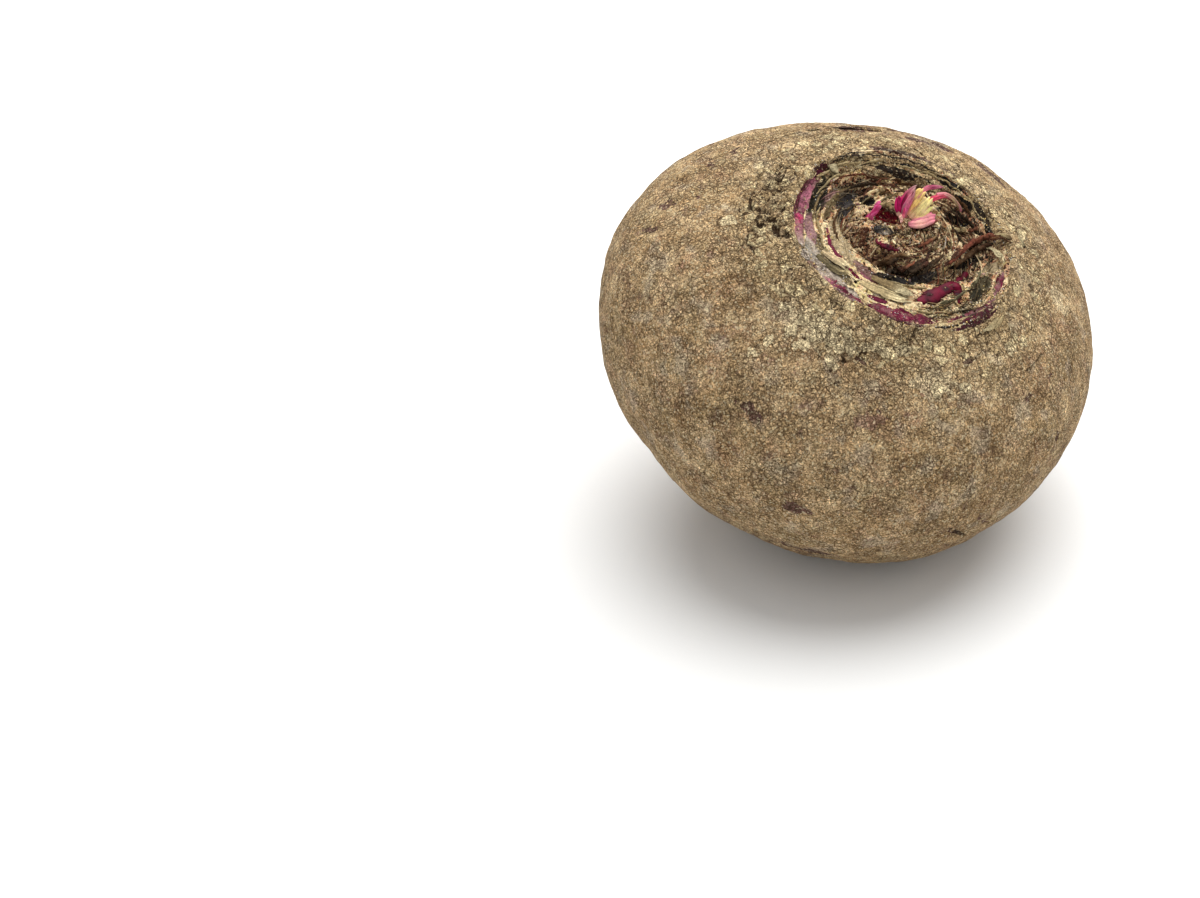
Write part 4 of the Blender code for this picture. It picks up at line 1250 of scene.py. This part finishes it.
# arcs of old bases, standing up in the mat: first and last azimuth, radius, height above it, thickness, colour
arcs = (
    (96, 150, 18.9, 0.5, 0.30, "straw"), (62, 92, 19.6, 0.5, 0.25, "tan"), (88, 128, 18.0, 0.5, 0.30, "tan"),
    (120, 158, 17.3, 0.6, 0.30, "straw"), (40, 74, 18.3, 0.6, 0.30, "brown"), (68, 112, 16.4, 0.6, 0.35, "brown"),
    (22, 52, 17.4, 0.6, 0.35, "dark"), (104, 140, 14.6, 0.7, 0.35, "dark"), (150, 182, 16.6, 0.6, 0.30, "tan"),
    (164, 206, 15.6, 0.6, 0.30, "straw"), (300, 330, 14.6, 0.7, 0.30, "green"), (336, 362, 15.4, 0.6, 0.30, "green"),
    (280, 306, 16.2, 0.5, 0.30, "straw"), (258, 300, 10.6, 0.4, 0.25, "straw"), (150, 200, 12.4, 0.6, 0.30, "brown"),
    (60, 100, 13.4, 0.6, 0.35, "brown"), (20, 58, 12.6, 0.6, 0.35, "dark"), (70, 118, 20.0, 0.3, 0.16, "tan"),
    (84, 136, 19.4, 0.3, 0.16, "dark"), (58, 96, 18.9, 0.3, 0.18, "straw"), (100, 146, 18.3, 0.3, 0.15, "sandy"),
    (66, 104, 17.2, 0.3, 0.18, "tan"), (110, 150, 16.6, 0.3, 0.16, "rust"), (46, 80, 20.3, 0.3, 0.16, "sandy"),
    (30, 60, 19.0, 0.3, 0.18, "straw"),
)


def planeToTop(across, up, above):
    # the point of the crown that is read at a place of its plane and stands above the surface there: a few steps of
    # finding the height under the place and moving the place by it
    height = np.full(np.shape(across), 24.0)
    for k in range(6):
        spot = crownSpot(np.stack([across, up, height], -1))
        radius = np.hypot(spot[..., 0], spot[..., 1])
        azimuth = np.degrees(np.arctan2(spot[..., 1], spot[..., 0]))
        height = topSpot(radius, azimuth)[..., 2] + above
    return crownSpot(np.stack([across, up, height], -1))


def makeStraws(shade):
    # each straw is a bundle of flat ribs that lie side by side on the crown
    allRings, allTint = [], []
    for number, (corners, width, thick, first, last) in enumerate(straws):
        way = route(corners, 30)
        spot = planeToTop(way[:, 0], way[:, 1], way[:, 2])
        spot[:, 2] = evened(spot[:, 2], 4)
        ribs = max(2, round(width / 0.32))
        widths = (0.55 * width, width, 0.6 * width)
        rings, tint = bundle(spot, widths, ribs, 0.12, (first, first, last), 40 + number, 2 * thick / width, 0.30, 0.35)
        allRings.append(rings)
        allTint.append(tint)
    piece = strandMesh("torn_straws", np.concatenate(allRings), np.concatenate(allTint), shade)
    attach(piece, "root")


def makeArcs(shade):
    # thin upright strips bent round the crown, ragged along the top and sunk at their ends
    rows = 48
    t = np.linspace(0, 1, rows)
    first, last, radius, tall, thick = np.array([row[:5] for row in arcs]).T[..., None]
    level = first + (last - first) * t
    wander = 0.35 * layeredNoise(polar(level, radius + 0 * level) + first[..., None], 4.0, 2, seed=61)
    spot = topSpot(radius + wander, level + crownTurn)
    swell = np.minimum(1, 1.5 * tapered(t, 0.01, 0.6))
    ragged = 0.55 + 1.1 * np.abs(layeredNoise(spot, 1.1, 2, seed=62))
    spot[..., 2] += tall * 0.10
    rings = sweep(spot, 0.75 * thick * swell * (0.7 + 0.3 * ragged), tall * swell * ragged, sides=10)
    tint = palette([row[5] for row in arcs])[:, None, None] * np.ones((1, rows, 10, 1))
    streak = 1 + 0.4 * layeredNoise(rings, 0.8, 2, seed=63)[..., None]
    tint = np.concatenate([tint[..., :3] * streak, tint[..., 3:]], -1)
    piece = strandMesh("scar_arcs", rings, tint, shade)
    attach(piece, "root")


# Young stalks: the cut heart and the single shoot beside it

# piece, corners as (across, up, height in the root's frame), full width at the foot, middle and tip, how many ribs,
# how deep it is curved across, and the colours at the foot, middle and tip
shoots = (
    ("side_shoot", ((-6.5, 2.1, 22.6), (-6.0, 3.8, 24.4), (-5.3, 5.8, 26.8), (-4.5, 7.5, 28.5)), (1.1, 1.3, 1.1),
     3, 0.9, ("vivid", "pink", "pink")),
    ("heart_cream", ((1.3, 5.4, 23.2), (2.3, 7.6, 25.2), (3.5, 9.9, 27.3), (5.0, 12.6, 29.4)), (1.8, 2.6, 1.4),
     5, 0.5, ("blush", "butter", "butter")),
    ("heart_cream", ((0.9, 5.6, 23.2), (1.4, 8.6, 25.8), (2.4, 11.2, 28.0), (3.8, 14.1, 29.9)), (1.0, 1.7, 1.4),
     4, 0.5, ("rose", "gold", "gold")),
    ("heart_cream", ((1.6, 5.2, 23.2), (2.9, 7.0, 25.0), (4.1, 8.8, 26.6), (5.4, 10.4, 27.9)), (1.4, 1.9, 1.0),
     3, 0.4, ("pink", "butter", "lime")),
    ("heart_cream", ((1.2, 5.0, 23.0), (2.8, 5.8, 24.8), (4.6, 7.0, 26.1), (6.6, 8.7, 27.2)), (2.0, 3.0, 2.0),
     5, 0.35, ("pink", "blush", "rose")),
    ("heart_cream", ((1.9, 3.9, 22.8), (3.6, 4.7, 24.0), (5.4, 6.0, 25.1), (7.0, 7.9, 26.2)), (0.9, 1.0, 0.6),
     3, 0.4, ("flesh", "wine", "redbrown")),
    ("heart_magenta", ((0.6, 5.2, 23.2), (0.5, 7.2, 25.2), (0.9, 9.6, 27.3), (1.7, 12.4, 29.4)), (1.0, 1.3, 0.7),
     3, 0.6, ("dusty", "pink", "rose")),
    ("heart_magenta", ((0.2, 5.4, 23.0), (-0.1, 7.2, 24.8), (-0.5, 9.0, 26.2), (-0.7, 10.7, 27.2)),
     (1.1, 1.9, 1.3), 4, 0.9, ("flesh", "vivid", "vivid")),
    ("heart_magenta", ((0.2, 6.0, 23.0), (0.1, 8.2, 25.6), (0.9, 11.6, 28.2), (2.3, 14.1, 29.9)), (1.0, 1.9, 0.6),
     4, 0.8, ("flesh", "vivid", "dusty")),
    ("heart_magenta", ((0.5, 5.0, 23.0), (0.4, 6.4, 24.6), (0.3, 8.0, 26.4)), (1.2, 1.0, 0.5),
     3, 0.5, ("rose", "rose", "vivid")),
    ("heart_magenta", ((2.6, 12.0, 28.2), (4.2, 14.2, 28.7), (6.0, 15.2, 28.4), (7.7, 15.8, 27.8)),
     (0.8, 1.0, 0.5), 4, 0.4, ("rose", "magenta", "mauve")),
    ("heart_magenta", ((4.4, 10.6, 27.2), (5.4, 11.9, 28.0), (6.6, 12.9, 28.5), (8.0, 13.4, 28.4),
     (9.4, 12.9, 27.6)), (0.8, 0.8, 0.6), 3, 0.6, ("crimson", "crimson", "umber")),
    ("heart_cream", ((6.2, 13.2, 28.6), (8.0, 13.9, 28.6), (9.6, 13.2, 27.9), (10.7, 12.0, 27.0),
     (11.2, 10.8, 26.2)), (0.6, 0.8, 0.6), 3, 0.5, ("rose", "tan", "umber")),
)


def makeShoots():
    shade = stalkMaterial("fresh_stalk", 0.50, 0.12, streak=0.42, depth=0.07)
    made = {}
    for number, (name, corners, *looks) in enumerate(shoots):
        rings, tint = bundle(crownSpot(route(corners, 30)), *looks, number)
        tint[..., :3] *= 1.6  # their sides face the camera and not the lamp
        made.setdefault(name, []).append((rings, tint))
    for name, parts in made.items():
        rings = np.concatenate([part[0] for part in parts])
        tint = np.concatenate([part[1] for part in parts])
        piece = strandMesh(name + "_fresh", rings, tint, shade)
        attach(piece, "root")
        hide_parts(name)


# Stalk bases on the ledge: shrunken magenta crescents inside the rim

# piece, first and last azimuth, radius, width, how ragged, colours
ledgeStalks = (
    ("left_stalk", 146, 204, 19.0, 2.2, 0.35,
     ("flesh", "mauve", "pinkish", "pinkish", "mauve", "vivid", "mauve", "dusty", "grey")),
    ("front_stalk", 224, 250, 19.2, 1.5, 0.40, ("dusty", "mauve", "magenta", "flesh", "magenta", "flesh")),
    ("front_stalk", 250, 298, 18.6, 2.9, 0.26,
     ("flesh", "magenta", "magenta", "magenta", "magenta", "flesh", "magenta")),
    ("right_stalk", 299, 338, 19.4, 1.7, 0.30, ("magenta", "flesh", "magenta", "flesh", "magenta", "dusty")),
    ("right_stalk", 340, 358, 18.9, 1.2, 0.25, ("dusty", "magenta", "magenta", "dusty")),
)


def makeLedgeStalks():
    shade = stalkMaterial("dusty_stalk", 0.70, 0.08, streak=0.6, depth=0.16, dust=0.5)
    rows, sides = 100, 26
    t = np.linspace(0, 1, rows)
    made = {}
    for name, first, last, radius, width, ragged, colours in ledgeStalks:
        level = first + (last - first) * t
        reach = radius + rimShift(level + crownTurn)
        reach = reach + 0.25 * layeredNoise(polar(level, radius + 0 * level), 3.0, 2, seed=81)
        spot = topSpot(reach, level + crownTurn)
        spot[:, 2] = evened(spot[:, 2], 4) - 0.08
        swell = tapered(t, 0.004, 0.45)
        swell = swell * (1 + ragged * layeredNoise(spot, 1.5, 3, seed=82))
        rings = sweep(spot[None], (width / 2 * swell)[None], (0.21 * swell)[None], sides, (4, 0.04))[0]
        rings = rings + (0.16 * layeredNoise(rings, 1.1, 3, seed=83))[..., None] * np.array([0, 0, 1])
        base = blended(t, np.linspace(0, 1, len(colours)), colours)[:, None] * np.ones((1, sides, 1))
        tint = base * (1 + 0.6 * layeredNoise(rings * np.array([1, 1, 0.5]), 0.9, 3, seed=84)[..., None])
        patch = smooth(0.05, 0.45, layeredNoise(rings, 1.6, 3, seed=85))[..., None]
        tint = mix(tint, palette(["dusty"])[0], 0.5 * patch)
        tint = mix(tint, palette(["tan"])[0], brimShare(sides) ** 3 * (0.15 + 0.4 * patch))
        tint[..., 3] = 1
        made.setdefault(name, []).append((rings, np.clip(tint, 0, 1)))
    for name, parts in made.items():
        piece = strandMesh(name + "_base", np.stack([p[0] for p in parts]), np.stack([p[1] for p in parts]), shade)
        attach(piece, "root")
        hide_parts(name)


# Wet flesh: the torn dark-magenta wound in the mat, and a smaller one beside the middle

# corners in the crown's plane as (across, up, height above the mat), widths along it
wounds = (
    (((3.4, -13.6, 0.0), (5.4, -12.0, 0.1), (8.2, -9.2, 0.0), (10.8, -6.6, 0.0), (14.3, -2.4, -0.1)),
     (2.4, 3.2, 2.4, 2.2, 0.9)),
    (((10.4, -6.6, 0.0), (10.9, -8.4, 0.1), (11.2, -11.4, 0.0)), (2.6, 1.8, 0.8)),
    (((-4.7, -1.4, 0.1), (-3.1, -2.1, 0.25), (-1.8, -2.4, 0.25), (-0.3, -2.7, 0.0)), (0.9, 1.1, 1.0, 0.5)),
)


def makeWounds():
    shade = stalkMaterial("wet_flesh", 0.42, 0.07, streak=0.3, depth=0.05)
    rows, sides = 48, 20
    t = np.linspace(0, 1, rows)
    allRings, allTint = [], []
    for corners, widths in wounds:
        way = route(corners, rows)
        spot = planeToTop(way[:, 0], way[:, 1], way[:, 2])
        spot[:, 2] = evened(spot[:, 2], 6)
        wide = np.interp(t, np.linspace(0, 1, len(widths)), widths) / 2 * tapered(t, 0.01, 0.3)
        wide = wide * (1 + 0.22 * layeredNoise(spot, 2.2, 2, seed=91))
        rings = sweep(spot[None], wide[None], 0.34 * np.sqrt(wide)[None], sides, (7, 0.07))[0]
        rings[..., 2] += 0.12 * layeredNoise(rings, 2.4, 2, seed=92)
        tint = np.ones((rows, sides, 4))
        share = smooth(-0.7, 0.3, layeredNoise(rings, 1.8, 3, seed=93))[..., None]
        share = share * (1 - 0.7 * brimShare(sides) ** 2)
        tint[..., :3] = mix(np.array(crownColours["wine"][:3]), np.array(crownColours["wet"][:3]), share)
        allRings.append(rings)
        allTint.append(tint)
    piece = strandMesh("wet_wounds", np.stack(allRings), np.stack(allTint), shade)
    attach(piece, "root")


# Studio: a pale floor, a wide soft light above and behind to the left, and even light all round

studio = {
    "world": 0.72,
    "lamp": (0.12, 0.42, 0.95),
    "lampSize": 1.5,
    "lampPower": 21.0,
    "floor": 3.0,
    "floorColour": (0.80, 0.80, 0.79, 1.0),
}


def makeStudio():
    world = bpy.data.worlds.new("studio")
    world.use_nodes = True
    world.node_tree.nodes["Background"].inputs["Color"].default_value = (1, 1, 1, 1)
    world.node_tree.nodes["Background"].inputs["Strength"].default_value = studio["world"]
    bpy.context.scene.world = world
    data = bpy.data.lights.new("soft_lamp", "AREA")
    data.shape = "DISK"
    data.size = studio["lampSize"]
    data.energy = studio["lampPower"]
    lamp = bpy.data.objects.new("soft_lamp", data)
    place = np.array(studio["lamp"])
    aim = -place / np.linalg.norm(place)
    lamp.location = place
    lamp.rotation_euler = (math.acos(-aim[2]), 0, math.atan2(aim[1], aim[0]) - math.pi / 2)
    bpy.context.scene.collection.objects.link(lamp)
    half = studio["floor"] / 2
    corners = np.array([(-half, -half, 0), (half, -half, 0), (half, half, 0), (-half, half, 0)])
    mesh = bpy.data.meshes.new("floor")
    mesh.from_pydata(corners.tolist(), [], [(0, 1, 2, 3)])
    floor = bpy.data.objects.new("floor", mesh)
    shop = Shop("floor_paper", {"Base Color": studio["floorColour"], "Roughness": 0.9, "Specular IOR Level": 0.2})
    mesh.materials.append(shop.finish(shop.noise(shop.place(), 1.2, 2.0), 0.02))
    bpy.context.scene.collection.objects.link(floor)
    bpy.context.scene.view_settings.view_transform = "Standard"


makeCamera()
makeStudio()
print("studio set")
makeSkin()
print("skin made")
makeMat()
dryShade = stalkMaterial("loose_straw", 0.9, 0.08, streak=0.5, depth=0.08, dust=0.3)
makeFibres(dryShade)
makeCrumbs(dryShade)
print("mat and litter made")
makeStraws(dryShade)
makeArcs(dryShade)
makeShoots()
makeLedgeStalks()
makeWounds()
print("stalks made")
